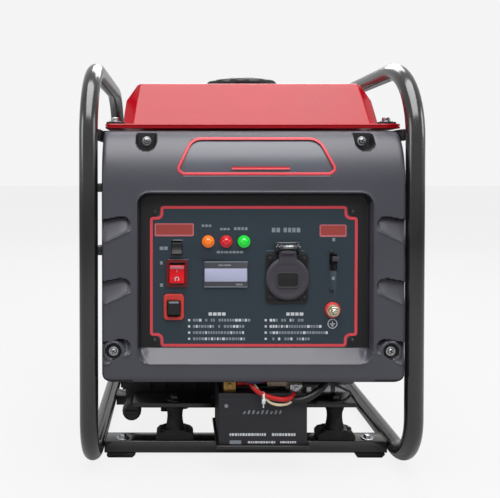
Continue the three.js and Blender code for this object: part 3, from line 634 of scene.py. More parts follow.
def close_tree(tree, given, result, geometry):
    """Ends the tree in Realize Instances and Set Material."""
    real = add(tree, "GeometryNodeRealizeInstances", {"Geometry": geometry})
    values = {"Geometry": real.outputs[0], "Material": given.outputs["Material"]}
    coated = add(tree, "GeometryNodeSetMaterial", values)
    tree.links.new(coated.outputs[0], result.inputs[0])
    return tree


def fastener_tree():
    """Hexagon or pan heads with a washer at points that carry an axis."""
    tree, given, result = node_group("Fasteners", [
        ("Head Radius", "NodeSocketFloat", 5.0),
        ("Head Height", "NodeSocketFloat", 4.0),
        ("Crown Radius", "NodeSocketFloat", 4.6),
        ("Head Sides", "NodeSocketInt", 6),
        ("Washer Radius", "NodeSocketFloat", 8.0),
        ("Washer Height", "NodeSocketFloat", 1.2),
        ("Material", "NodeSocketMaterial", None),
    ])
    outs = given.outputs

    def cone(sides, top, bottom, depth):
        values = {"Vertices": sides, "Radius Top": top, "Radius Bottom": bottom, "Depth": depth}
        return add(tree, "GeometryNodeMeshCone", values)

    head = cone(outs["Head Sides"], outs["Crown Radius"], outs["Head Radius"], outs["Head Height"])
    lift = add(tree, "ShaderNodeCombineXYZ", {"Z": outs["Washer Height"]})
    raised = add(tree, "GeometryNodeTransform",
                 {"Geometry": head.outputs["Mesh"], "Translation": lift.outputs[0]})
    washer = cone(32, outs["Washer Radius"], outs["Washer Radius"], outs["Washer Height"])
    both = add(tree, "GeometryNodeJoinGeometry")
    tree.links.new(raised.outputs[0], both.inputs[0])
    tree.links.new(washer.outputs["Mesh"], both.inputs[0])
    axis = add(tree, "GeometryNodeInputNamedAttribute", {"Name": "axis"}, data_type="FLOAT_VECTOR")
    facing = add(tree, "FunctionNodeAlignRotationToVector", {"Vector": axis.outputs["Attribute"]}, axis="Z")
    laid = add(tree, "GeometryNodeInstanceOnPoints",
               {"Points": outs["Geometry"], "Instance": both.outputs[0], "Rotation": facing.outputs[0]})
    return close_tree(tree, given, result, laid.outputs[0])


def row_tree():
    """A row of equal bars: fins, slats, ribs or louvres."""
    tree, given, result = node_group("Row of bars", [
        ("Count", "NodeSocketInt", 8),
        ("Step", "NodeSocketVector", (0.0, 0.0, 8.0)),
        ("Size", "NodeSocketVector", (60.0, 40.0, 2.0)),
        ("Material", "NodeSocketMaterial", None),
    ])
    bar = add(tree, "GeometryNodeMeshCube", {"Size": given.outputs["Size"]})
    line = add(tree, "GeometryNodeMeshLine",
               {"Count": given.outputs["Count"], "Offset": given.outputs["Step"]}, mode="OFFSET")
    laid = add(tree, "GeometryNodeInstanceOnPoints",
               {"Points": line.outputs[0], "Instance": bar.outputs["Mesh"]})
    return close_tree(tree, given, result, laid.outputs[0])


def ring_tree():
    """Equal bars set round a centre, standing along local Z at a radius."""
    tree, given, result = node_group("Ring of bars", [
        ("Count", "NodeSocketInt", 12),
        ("Radius", "NodeSocketFloat", 50.0),
        ("Size", "NodeSocketVector", (20.0, 3.0, 20.0)),
        ("Material", "NodeSocketMaterial", None),
    ])
    bar = add(tree, "GeometryNodeMeshCube", {"Size": given.outputs["Size"]})
    circle_of = {"Vertices": given.outputs["Count"], "Radius": given.outputs["Radius"]}
    ring_line = add(tree, "GeometryNodeMeshCircle", circle_of)
    outward = add(tree, "GeometryNodeInputPosition")
    facing = add(tree, "FunctionNodeAlignRotationToVector", {"Vector": outward.outputs[0]}, axis="X")
    laid = add(tree, "GeometryNodeInstanceOnPoints",
               {"Points": ring_line.outputs[0], "Instance": bar.outputs["Mesh"],
                "Rotation": facing.outputs[0]})
    return close_tree(tree, given, result, laid.outputs[0])


TREES = {}


def grown(tree_name, values, key, points=((0, 0, 0),), axes=None):
    """Runs a tree on points and returns the plain shape."""
    tree = TREES[tree_name]
    mesh = bpy.data.meshes.new("seeds")
    mesh.from_pydata([tuple(p) for p in points], [], [])
    if axes:
        store = mesh.attributes.new("axis", "FLOAT_VECTOR", "POINT")
        store.data.foreach_set("vector", [c for axis in axes for c in axis])
    obj = bpy.data.objects.new("seeds", mesh)
    bpy.context.scene.collection.objects.link(obj)
    modifier = obj.modifiers.new("grow", "NODES")
    modifier.node_group = tree
    values = dict(values, Material=MATERIALS[key])
    for socket in tree.interface.items_tree:
        if socket.item_type == "SOCKET" and socket.in_out == "INPUT" and socket.name in values:
            modifier[socket.identifier] = values[socket.name]
    graph = bpy.context.evaluated_depsgraph_get()
    made = bpy.data.meshes.new_from_object(obj.evaluated_get(graph))
    bm = bmesh.new()
    bm.from_mesh(made)
    bpy.data.objects.remove(obj)
    bpy.data.meshes.remove(mesh)
    bpy.data.meshes.remove(made)
    if not bm.faces:
        raise RuntimeError(f"{tree_name} made nothing")
    bmesh.ops.recalc_face_normals(bm, faces=bm.faces)
    return bm


def bolts(points, axis, radius, height, washer, sides=6):
    """Bolt heads at points, all facing one way."""
    values = {
        "Head Radius": radius,
        "Crown Radius": radius * (0.96 if sides == 6 else 0.7),
        "Head Height": height,
        "Head Sides": sides,
        "Washer Radius": washer,
        "Washer Height": 1.4,
    }
    return soften(grown("fasteners", values, "zinc", points, [axis] * len(points)), 0.5, 2)


def bars(count, start, step, size, key, round_by=0.5):
    """A row of bars that starts at a point."""
    bm = grown("row", {"Count": count, "Step": step, "Size": size}, key)
    return soften(moved(bm, Matrix.Translation(start)), round_by, 2)


def ring(count, radius, size, centre, axis, key, turn=0.0, round_by=0.4):
    """A ring of bars round a centre, whose bars stand along the axis."""
    bm = soften(grown("ring", {"Count": count, "Radius": radius, "Size": size}, key), round_by, 1)
    face = {"x": Matrix.Rotation(math.pi / 2, 4, "Y"), "y": Matrix.Rotation(-math.pi / 2, 4, "X"),
            "z": Matrix.Identity(4)}[axis]
    return moved(bm, Matrix.Translation(centre) @ face @ Matrix.Rotation(turn, 4, "Z"))


# ---------------------------------------------------------------- user settings


def colour_setting(name, description, default):
    """A colour that the user can change."""
    return FloatVectorProperty(
        name=name, description=description, subtype="COLOR_GAMMA", size=3, min=0, max=1, default=default,
    )


class GeneratorLook(PropertyGroup):
    """Sizes and colours that a user would change."""

    frame_colour: colour_setting("Frame", "Powder coat of the tube frame", (0.095, 0.095, 0.1))
    tank_colour: colour_setting("Tank", "Enamel of the fuel tank", (0.7, 0.0, 0.085))
    panel_colour: colour_setting("Housing", "Plastic of the panel housing", (0.225, 0.225, 0.265))
    plate_colour: colour_setting("Face plate", "Ink of the face plate", (0.19, 0.24, 0.28))
    outline_colour: colour_setting("Outline", "Ink of the outlines", (0.9, 0.29, 0.33))
    skin_pitch: FloatProperty(
        name="Housing detail", description="Spacing of the housing's surface points",
        default=1.3 * MM, min=1.1 * MM, max=6 * MM, unit="LENGTH",
    )
    tube_sides: IntProperty(
        name="Tube sides", description="Points round each frame tube", default=36, min=12, max=64,
    )


def look():
    """The user's settings."""
    return bpy.context.scene.generator_look


class GeneratorOperator(Operator):
    """Common ground of the operators that build pieces."""

    bl_options = {"REGISTER", "UNDO"}

    def execute(self, context):
        self.build(context.scene.generator_look)
        return {"FINISHED"}


# ---------------------------------------------------------------- frame


class GENERATOR_OT_frame(GeneratorOperator):
    """Tube hoops, base rails, rubber feet and the plate the engine stands on"""

    bl_idname = "generator.build_frame"
    bl_label = "Tube frame"

    def build(self, settings):
        for side in ("left", "right"):
            self.hoop(f"hoop_{side}", settings.tube_sides)
        for rail in ("front", "middle", "rear"):
            node = f"rail_{rail}"
            box = Box(node)
            parts = [(refined(node, 1.0), "tube")]
            ends = [(x, box.cy - 4, box.z1) for x in (box.x0 + 23, box.x1 - 23)]
            parts.append((bolts(ends, (0, 0, 1), 5.2, 3.6, 8.5), "zinc"))
            welds = [tube([(x, box.y0 + 1, box.z1 - 1), (x, box.y1 - 1, box.z1 - 1)], 1.6, 8)
                     for x in (box.x0 + 0.6, box.x1 - 0.6)]
            parts += [(weld, "plate") for weld in welds]
            piece(f"base_rail_{rail}", parts, node)
        for end in ("front", "rear"):
            for side in ("left", "right"):
                node = f"foot_{end}_{side}"
                box = Box(node)
                grooves = bars(3, (box.cx - 9, box.cy, 0.6), (9, 0, 0), (3, box.sy - 3, 0.8), "rubber", 0.2)
                piece(f"rubber_{node}", [(refined(node, 0.8), "rubber"), (grooves, "rubber")], node)
                self.mount(f"engine_mount_{end}_{side}")
        bed = Box("engine_bed_plate")
        spots = [(x, y, bed.z1) for x in (-91, 117) for y in (-118.5, 43.5)]
        bed_bolts = bolts(spots, (0, 0, 1), 6.5, 4.5, 11)
        piece("engine_bed", every("plate", refined("engine_bed_plate", 1.2), bed_bolts),
              "engine_bed_plate")

    def hoop(self, node, sides):
        box = Box(node)
        radius = 11.0
        out = box.x0 if box.cx < 0 else box.x1
        x = out + (radius if box.cx < 0 else -radius)
        y0, y1 = box.y0 + radius, box.y1 - radius
        z0, z1 = box.z0 + radius, box.z1 - radius
        corners = [(x, 0, z0), (x, y0, z0), (x, y0, z1), (x, y1, z1), (x, y1, z0), (x, 0, z0)]
        line = bend(corners, (60, 90, 90, 60), 14)[:-1]
        parts = [(tube(line, radius, sides, closed=True), "tube")]
        inner = x + (radius if box.cx < 0 else -radius)
        way = 1 if box.cx < 0 else -1
        span = sorted((inner - way * 2, inner + way * 2))
        parts.append((block(*span, -183, 183, 404, 418, 0.8), "plate"))
        for end in (-1, 1):
            y = end * 134
            ear = sorted((inner - way * 1, way * -158))
            parts.append((block(*ear, y - 14, y + 14, 414, 418, 1.0), "plate"))
            bead = [(inner - way, end * 181, z) for z in (405, 411, 417)]
            parts.append((tube(bead, 2.2, 10), "plate"))
        for z in (348, 273):
            panel = Box("panel_housing")
            foot_x = panel.x0 - 0.3 if way > 0 else panel.x1 + 0.3
            tab = sorted((inner - way * 2, foot_x))
            parts.append((block(*tab, -190, -168, z - 5, z + 5, 0.8), "plate"))
        piece(f"frame_{node}", parts, node)

    def mount(self, node):
        box = Box(node)
        top = box.z1
        low, half = box.z0, box.sx / 2
        profile = [(0, top), (11.4, top), (12, top - 1), (12, top - 4), (10.2, top - 9), (9.8, top - 15),
                   (10.4, top - 21), (12, low + 13), (12, low + 9), (0, low + 9)]
        right = [(half, 0), (half, 6), (half - 4, 10), (14, 11.4)]
        hat = [(box.cx - half, low)] + [(box.cx + a, low + b) for a, b in right]
        hat += [(box.cx - a, low + b) for a, b in right[:0:-1]]
        base = prism(hat, "y", box.y0, box.y1, 1.0)
        plate = prism(round_rect(box.cx, box.cy, 30, 24, 3, 3), "z", low + 11, low + 12.4, 0.5)
        studs = bolts([(box.cx + s * 19, box.cy, low + 9.6) for s in (-1, 1)], (0, 0, 1), 2.6, 1.6, 3.4)
        column = turned(profile, "z", box.cx, box.cy, 32)
        piece(f"rubber_{node}", every("rubber", column, base) + every("plate", plate, studs), node)


# ---------------------------------------------------------------- fuel system


class GENERATOR_OT_fuel(GeneratorOperator):
    """Fuel tank, filler cap, strainer, shut-off cock and hose"""

    bl_idname = "generator.build_fuel"
    bl_label = "Fuel system"

    def build(self, settings):
        self.tank()
        self.cap()
        strainer = Box("fuel_strainer")
        mesh = ring(28, 27.2, (0.8, 1.6, 24), (strainer.cx, strainer.cy, strainer.z0 + 14), "z", "nylon",
                    round_by=0.0)
        piece("strainer", [(refined("fuel_strainer", 0.2), "nylon"), (mesh, "nylon")], "fuel_strainer")
        cock = Box("fuel_cock")
        nut = turned([(0, 0), (11, 0), (11, 6), (9, 7.6), (0, 7.6)], "z", cock.x0 + 14, cock.cy, 6, 384)
        piece("shut_off_cock", [(refined("fuel_cock", 0.5), "cast"), (nut, "brass")], "fuel_cock")
        lever = Box("fuel_cock_lever")
        hub = bolts([(lever.x0 + 2.4, lever.cy, 367)], (-1, 0, 0), 3.2, 1.6, 4.4, sides=20)
        piece("shut_off_lever", [(refined("fuel_cock_lever", 0.8), "red"), (hub, "zinc")],
              "fuel_cock_lever")
        line = bend(
            [(-120, -88, 343.6), (-120, -88, 300), (-156, -40, 262), (-156, 84, 190), (-138, 102, 186),
             (-138, 122.6, 186)], (18, 20, 12, 12), 6,
        )
        clips = [turned([(4.4, z), (5.6, z), (5.6, z + 3), (4.4, z + 3), (4.4, z)], "z", -120, -88, 20)
                 for z in (334, 306)]
        piece("fuel_hose_line", [(tube(line, 4.5, 20), "rubber")] + [(c, "zinc") for c in clips],
              "fuel_hose")

    def outline(self, half, front, rear, corner, z):
        """The tank's plan at one height: a rectangle with cut and softened corners."""
        cx = Box("fuel_tank").cx - 0.5
        w, c = half, corner
        raw = [(w - c, rear), (-w + c, rear), (-w, rear - c), (-w, front + c), (-w + c, front),
               (w - c, front), (w, front + c), (w, rear - c)]
        pts = [(x, y, 0) for x, y in raw]
        line = bend([pts[-1], *pts, pts[0]], [3.0] * len(pts), 4)[1:-1]
        return [(p.x + cx, p.y, z) for p in line]

    def tank(self):
        box = Box("fuel_tank")
        seam, top = 420.0, 480.0
        keys = [
            (392, 126, -110, 120, 28), (393.5, 131, -118, 126, 27), (397, 138, -127, 133, 25),
            (403, 146.5, -134.5, 140, 21), (412, 151, -140, 145, 18), (seam, 154, -144, 148, 16),
            (426, 161.3, -152, 151.8, 14.4), (427.5, 161.2, -151.3, 151.6, 14.4),
            (442, 160, -143.2, 150, 15), (454, 158.7, -136.6, 148.8, 15.2), (458, 158.2, -134.3, 148, 15.1),
            (459.6, 157.4, -133.4, 147.3, 14.7), (461.4, 156, -132.4, 146.2, 13.9),
            (470, 150, -127.6, 140.8, 9), (477.5, 144.6, -123.5, 136, 4.8), (479, 143.2, -122.4, 134.6, 4),
            (480, 141.4, -120.8, 132.8, 3.6), (480.4, 138, -117.4, 129.4, 3.4),
        ]
        body = loft([self.outline(*shape, z) for z, *shape in keys], closed_ends=False)
        rim = self.outline(*keys[-1][1:], keys[-1][0])
        cap = Box("fuel_cap")
        top_rings = [rim]
        for t in (0.3, 0.6, 0.85, 1.0):
            ringed = []
            for x, y, z in rim:
                away = Vector((x - cap.cx, y - cap.cy, 0))
                p = away.lerp(away.normalized() * 32, t)
                ringed.append((p.x + cap.cx, p.y + cap.cy, z + 0.8 * t - 0.8 * math.sin(math.pi * t)))
            top_rings.append(ringed)
        lid = loft(top_rings, closed_ends=False)
        neck = turned([(32, top - 0.5), (33.5, top + 0.5), (32.4, top + 2), (32, 486), (31.4, 487),
                       (30.4, 487), (30, 486.4), (30, 474)], "z", cap.cx, cap.cy, 56)
        floor = loft([self.outline(*keys[0][1:], z) for z in (392.0, 392.01)])
        flange_keys = [(-2.4, 0), (-0.6, 0.2), (0, 1.2), (0, 2.2), (-1.2, 2.9), (-1.2, 3.3), (0, 3.9),
                       (0, 4.9), (-0.6, 5.8), (-2.4, 6)]
        flange = loft([
            [(x, y, seam + rise)
             for x, y in round_rect(box.cx, 0, box.sx + 2 * inset, box.sy + 2 * inset, 6 + inset, 6)]
            for inset, rise in flange_keys
        ])
        # Thin rubber pads and bolts hold the seam's corners to the frame's ears.
        spots = [(x, y) for x in (-167, 177) for y in (-134, 134)]
        parts = every("tank", body, lid, neck, floor, flange)
        for x, y in spots:
            low, high = (x - 10, x + 12.6) if x < 0 else (x - 12.6, x + 9.6)
            parts.append((block(low, high, y - 10, y + 10, seam + 6, seam + 9.4, 0.8), "rubber"))
        parts.append((bolts([(x, y, seam + 9.4) for x, y in spots], (0, 0, 1), 5.6, 4.6, 8.2), "zinc"))
        piece("tank_shell", parts, "fuel_tank")

    def cap(self):
        box = Box("fuel_cap")
        lobes = 11
        levels = []
        low, high = box.z0, box.z1 - 1.4
        shape = [(low, -3.0), (low + 1.0, -0.6), (low + 2.4, 0.0), (high - 4, -0.3), (high - 2, -1.6),
                 (high - 0.6, -4.2), (high, -8)]
        for z, inset in shape:
            ringed = []
            for i in range(132):
                t = 2 * math.pi * i / 132
                lobe = 0.5 + 0.5 * math.cos(lobes * t)
                r = 51 - 3.4 * (1 - lobe**0.6) + inset
                ringed.append((box.cx + r * math.cos(t), box.cy + r * math.sin(t), z))
            levels.append(ringed)
        body = loft(levels, closed_ends=False)
        top = turned([(43, -0.1), (40, 0.1), (38.6, -0.3), (37, -0.9), (34, -1.0), (12, -0.5), (0, -0.4)],
                     "z", box.cx, box.cy, 64, high)
        skirt = turned([(48.2, low), (34, low), (33.4, low + 1), (33.4, low + 6.4), (0, low + 6.4)],
                       "z", box.cx, box.cy, 56)
        grip = prism(round_rect(box.cx, box.cy, 70, 13, 5, 5), "z", high - 1.2, box.z1, 1.2, 3)
        vent = turned([(0, box.z1 + 0.4), (2.6, box.z1 + 0.3), (3, box.z1 - 0.4), (0, box.z1 - 0.4)],
                      "z", box.cx + 18, box.cy, 20)
        # A small white dot on the cap's top, near its front edge.
        white_dot = turned([(0, 0.9), (2.8, 0.7), (3.2, -0.4)], "z", box.cx + 15, box.cy - 32, 20, high)
        piece("filler_cap_knob", every("black", body, top, skirt, grip, vent) + [(white_dot, "white_ink")],
              "fuel_cap")


# ---------------------------------------------------------------- control panel housing


def grid_skin(x, y, z, back, hole, margin, flip):
    """A skin over a grid of points, carried straight to the open back all round, less a hole."""
    x, z = np.pad(x, 1, mode="edge"), np.pad(z, 1, mode="edge")
    y = np.pad(y, 1, constant_values=back)
    verts = np.stack([x, y, z], axis=-1).reshape(-1, 3)
    index = np.arange(x.size).reshape(x.shape)
    corners = [index[:-1, :-1], index[:-1, 1:], index[1:, 1:], index[1:, :-1]]
    if flip:
        corners = corners[:1] + corners[:0:-1]
    quads = np.stack(corners, axis=-1).reshape(-1, 4)
    mid = verts[quads].mean(axis=1)
    beyond_x = np.abs(mid[:, 0] - hole.cx) > hole.sx / 2 - margin
    beyond_z = np.abs(mid[:, 2] - hole.cz) > hole.sz / 2 - margin
    mesh = bpy.data.meshes.new("skin")
    mesh.from_pydata(verts.tolist(), [], quads[beyond_x | beyond_z].tolist())
    bm = bmesh.new()
    bm.from_mesh(mesh)
    bpy.data.meshes.remove(mesh)
    bmesh.ops.remove_doubles(bm, verts=bm.verts, dist=0.02)
    return bm


class Housing:
    """The moulded housing's front surface as a depth over width and height."""

    def __init__(self):
        self.box = Box("panel_housing")
        self.plate = Box("face_plate")
        self.bend_at = 352.0
        self.low_corner = 11.0
        self.high_corner = 4.0

    def half_width(self, z):
        """Half the width at a height: the corners are round."""
        half = np.full_like(z, self.box.sx / 2)
        for radius, rise in ((self.low_corner, z - self.box.z0), (self.high_corner, self.box.z1 - z)):
            reach = np.clip(radius - rise, 0, radius)
            half = half - radius + np.sqrt(np.maximum(radius**2 - reach**2, 0))
        return half

    def profile(self, z):
        """Depth of the plain face: upright, then curving back to the top edge."""
        t = np.clip((z - self.bend_at) / (self.box.z1 - self.bend_at), 0, 0.999)
        back = 39.0 * (1 - np.sqrt(1 - t**2.15))
        return self.box.y0 + back

    def trapezoid(self, x, z):
        """Signed distance outside the badge's outline, about."""
        from_middle = np.abs(x - self.plate.cx - BADGE_SHIFT)
        sides = (from_middle - BADGE_HALF_TOP - (BADGE_TOP - z) * 0.46) * 0.9
        foot_cut = (from_middle - BADGE_HALF_KNEE + (BADGE_KNEE - z) * 1.1) * 0.67
        return np.maximum.reduce([sides, z - BADGE_TOP, BADGE_LOW - z, foot_cut])

    def depth(self, x, z):
        """Depth of the finished face with its recesses."""
        box, plate = self.box, self.plate
        y = self.profile(z)
        half = self.half_width(z)
        from_middle = np.abs(x - box.cx)
        edge = np.clip(6.0 - (half - from_middle), 0, 6.0)
        y = y + 6.0 - np.sqrt(np.maximum(36.0 - edge**2, 0))
        low = np.clip(8.0 - (z - box.z0), 0, 8.0)
        y = y + 8.0 - np.sqrt(np.maximum(64.0 - low**2, 0))
        # Recess round the face plate: a wide bevel down to the plate.
        tx = np.clip((np.abs(x - plate.cx) - plate.sx / 2) / 14.5, 0, None)
        tz = np.clip((np.abs(z - plate.cz) - plate.sz / 2) / 16.0, 0, None)
        t = np.sqrt(tx**2 + tz**2)
        floor = plate.y0 + 0.5
        sill = np.clip((plate.z0 - z) / 16.0, 0, 1) / np.maximum(t, 0.02)
        steep = np.clip((t - 0.74) / 0.26, 0, 1)
        slope = sill**2 * np.clip(t - 0.05, 0, 1) / 0.95 + (1 - sill**2) * steep**1.5
        lipped = floor + (box.y0 - floor) * slope
        y = np.where(t < 1.0, np.maximum(y, lipped), y)
        lip = np.clip(1 - np.abs(t - 1.04) / 0.12, 0, 1)
        y = y - 0.9 * lip * (t > 0.5)
        # Badge: a shallow sunk field.
        badge = np.clip((1.0 - self.trapezoid(x, z)) / 2.0, 0, 1)
        y = y + 1.6 * badge
        # Screw wells.
        for sx in (-1, 1):
            dx = np.abs(x - SCREW_MIDDLE - sx * SCREW_HALF)
            dz = np.maximum(SCREW_Z - 0.5 - z, 0)
            inside = np.clip((12.5 - np.sqrt(dx**2 + dz**2)) / 2.2, 0, 1)
            y = np.where(inside > 0, y + inside * np.maximum(SCREW_SEAT - y, 0), y)
            far = np.sqrt((x - sx * LOW_SCREW_X) ** 2 + (z - LOW_SCREW_Z) ** 2)
            y = y + 4.0 * np.clip((9.5 - far) / 1.8, 0, 1)
        # Louvre scoops beside the plate.
        for sx in (-1, 1):
            for level in (312.0, 239.5, 168.0):
                u = sx * x
                run = u - 144.0 - box.cx * sx
                ceiling = level + 3.0 - 0.2 * np.abs(run - 12.0) - 5.0 * np.clip((5.0 - run) / 5.0, 0, 1)
                ground = level - 13.5 - 0.46 * run
                height = np.maximum(ceiling - ground, 1.0)
                rise = np.clip((z - ground) / height, 0, 1)
                inside = np.clip((ceiling - z) / 1.6, 0, 1) * np.clip(run / 4.0, 0, 1)
                inside = inside * np.clip((half - from_middle) / 3.0, 0, 1)
                ridge = 1.9 * np.exp(-(((z - ground) / 1.3) ** 2)) * np.clip(run / 4.0, 0, 1)
                scoop = 8.5 * rise**0.8 * inside * (z > ground) - ridge * (from_middle < half - 3)
                if level < 200:
                    far = np.sqrt((x - sx * LOW_SCREW_X) ** 2 + (z - LOW_SCREW_Z) ** 2)
                    scoop = scoop * np.clip((far - 12.0) / 3.0, 0, 1)
                y = y + scoop
        return y

    def at(self, x, z):
        """Depth at one point."""
        return float(self.depth(np.array([float(x)]), np.array([float(z)]))[0])


class GENERATOR_OT_housing(GeneratorOperator):
    """Moulded control panel housing with its badge, screw wells and louvre scoops"""

    bl_idname = "generator.build_housing"
    bl_label = "Panel housing"

    def build(self, settings):
        form = Housing()
        parts = self.finishes(form, self.skin(form, settings.skin_pitch / MM))
        parts += [(self.inside(form), "housing")]
        parts += self.badge(form)
        parts += self.screws(form)
        piece("control_panel_housing", parts, "panel_housing")

    def skin(self, form, pitch):
        box = form.box
        edge = [0, 0.6, 1.4, 2.4, 3.6, 5.0]
        inner = np.linspace(6.2, box.sz - 4.0, int((box.sz - 10) / pitch))
        rows = np.concatenate([edge, inner, box.sz - np.array([3.0, 2.0, 1.2, 0.5, 0.0])]) + box.z0
        across = np.linspace(-1, 1, int(box.sx / pitch))
        rim = 1 - np.array([0.0, 0.6, 1.4, 2.6, 4.2, 6.0]) / (box.sx / 2)
        across = np.concatenate([-rim, across[np.abs(across) < rim[-1] - 0.004], rim[::-1]])
        z, u = np.meshgrid(rows, across, indexing="ij")
        x = box.cx + u * form.half_width(z)
        y = form.depth(x, z)
        bm = grid_skin(x, y, z, box.y1, form.plate, 3, flip=False)
        loose = [v for v in bm.verts if not v.link_faces]
        bmesh.ops.delete(bm, geom=loose, context="VERTS")
        bm.normal_update()
        bm.faces.index_update()
        return bm

    def finishes(self, form, bm):
        """Parts the skin into the plain face, the badge's field with its painted sheen, and the recesses
        painted near-black as shade.
        """
        box, plate = form.box, form.plate
        groups = {"housing": [], "badge": [], "well": []}
        for face in bm.faces:
            c = face.calc_center_median()
            normal = face.normal
            key = "housing"
            if c.y < box.y1 - 3:
                # Faces in the recess under the lip, in the screw wells and on the louvres' downward walls go
                # near-black: painted shade.
                beside = abs(c.x - plate.cx) < plate.sx / 2 + 13 and c.z > plate.z0 - 1
                under_lip = beside and c.z < plate.z1 + 15 and c.y > box.y0 + 1.5
                near = abs(abs(c.x - SCREW_MIDDLE) - SCREW_HALF) < 12.6 and c.z > 390.6
                well = near and c.y > form.profile(np.array([c.z]))[0] + 1
                reach = math.hypot(abs(c.x) - LOW_SCREW_X, c.z - LOW_SCREW_Z)
                round_well = reach < 9.6 and c.y > box.y0 + 0.8
                scoop = abs(c.x - box.cx) > 142 and normal.z < -0.3 and c.z < 330 and c.y > box.y0 + 0.4
                # The badge's field takes the lighter grey of painted sheen.
                if form.trapezoid(np.array([c.x]), np.array([c.z]))[0] < -0.8:
                    key = "badge"
                elif under_lip or well or round_well or scoop:
                    key = "well"
            groups[key].append(face.index)
        parts = []
        for key, wanted in groups.items():
            wanted = set(wanted)
            part = bm.copy()
            part.faces.ensure_lookup_table()
            bmesh.ops.delete(part, geom=[f for f in part.faces if f.index not in wanted], context="FACES")
            parts.append((part, key))
        bm.free()
        return parts

    def inside(self, form):
        """Inner skin, behind the deepest part of the face nearby, and the rim round the open back."""
        box = form.box
        wall = 3.0
        rows = np.linspace(box.z0 + wall, box.z1 - wall, 40)
        across = np.linspace(-1, 1, 30)
        z, u = np.meshgrid(rows, across, indexing="ij")
        x = box.cx + u * (form.half_width(z) - wall)
        shifts = [(dx, dz) for dx in (-9, 0, 9) for dz in (-9, 0, 9)]
        deepest = [form.depth(np.clip(x + dx, box.x0 + 6, box.x1 - 6), np.clip(z + dz, box.z0 + 8, box.z1))
                   for dx, dz in shifts]
        y = np.maximum.reduce(deepest) + 2.5
        bm = grid_skin(x, y, z, box.y1, form.plate, 8, flip=True)
        line = round_rect(box.cx, box.cz, box.sx - wall, box.sz - wall, 4, 6)
        rim = ribbon(line, wall, "y", box.y1 - 2.5, box.y1)
        part = bpy.data.meshes.new("rim")
        rim.to_mesh(part)
        rim.free()
        bm.from_mesh(part)
        bpy.data.meshes.remove(part)
        return bm

    def surface_band(self, form, outline, width, lift, sink=1.0, closed=True):
        """A rounded band that follows the housing's face along an outline of x, z points."""
        dense = []
        count = len(outline)
        for i in range(count if closed else count - 1):
            a, b = Vector(outline[i]), Vector(outline[(i + 1) % count])
            steps = max(1, int((b - a).length / 3))
            dense += [a.lerp(b, k / steps) for k in range(steps)]
        if not closed:
            dense.append(Vector(outline[-1]))
        levels = []
        for i, p in enumerate(dense):
            before, after = beside(dense, i, closed)
            way = (after - before).normalized()
            normal = Vector((-way.y, way.x))
            ringed = []
            for k in range(7):
                s = -1 + 2 * k / 6
                q = p + normal * s * width / 2
                rise = lift * math.sqrt(max(0.0, 1 - abs(s) ** 3))
                base = float(form.profile(np.array([q.y]))[0])
                ringed.append((q.x, base - rise, q.y))
            for s in (0.9, -0.9):
                q = p + normal * s * width / 2
                ringed.append((q.x, float(form.profile(np.array([q.y]))[0]) + sink, q.y))
            levels.append(ringed)
        if closed:
            levels.append(levels[0])
        bm = loft(levels, closed_ends=not closed)
        bmesh.ops.remove_doubles(bm, verts=bm.verts, dist=1e-4)
        bmesh.ops.recalc_face_normals(bm, faces=bm.faces)
        return bm

    def badge(self, form):
        cx = form.plate.cx + BADGE_SHIFT
        side = [(BADGE_HALF_TOP, BADGE_TOP), (BADGE_HALF_KNEE, BADGE_KNEE), (86, BADGE_LOW)]
        corners = [(cx - a, z, 0) for a, z in side] + [(cx + a, z, 0) for a, z in side[::-1]]
        middle = (cx, BADGE_TOP, 0)
        outline = bend([middle, *corners, middle], (17, 4.6, 4.6, 4.6, 4.6, 17), 8)[:-1]
        flat = [(p.x, p.y) for p in outline]
        border = self.surface_band(form, flat, 3.6, 1.3)
        bar = self.surface_band(form, [(cx - 29, 371.5), (cx + 39, 371.5)], 3.4, -0.9, 2.4, closed=False)
        # A pale line just under the border: painted highlight on the border's lower edge.
        under = self.surface_band(form, [(cx - 86, 361.9), (cx + 86, 361.9)], 1.3, 0.9, closed=False)
        return [(border, "red_ink"), (bar, "red_ink"), (under, "grey_ink")]

    def screws(self, form):
        parts = []
        spots = [(SCREW_MIDDLE + s * SCREW_HALF, SCREW_Z, SCREW_SEAT) for s in (-1, 1)]
        spots += [(s * LOW_SCREW_X, LOW_SCREW_Z, form.box.y0 + 4) for s in (-1, 1)]
        for x, z, y in spots:
            parts.append((bolts([(x, y - 0.2, z)], (0, -1, 0), 4.2, 2.6, 5.6, sides=24), "zinc"))
            for turn in (0.4, 0.4 + math.pi / 2):
                slot = moved(block(-2.6, 2.6, -0.3, 0.3, -0.5, 0.5), Matrix.Rotation(turn, 4, "Y"))
                parts.append((moved(slot, Matrix.Translation((x, y - 4.2, z))), "black"))
        return parts


# ---------------------------------------------------------------- face plate and its prints


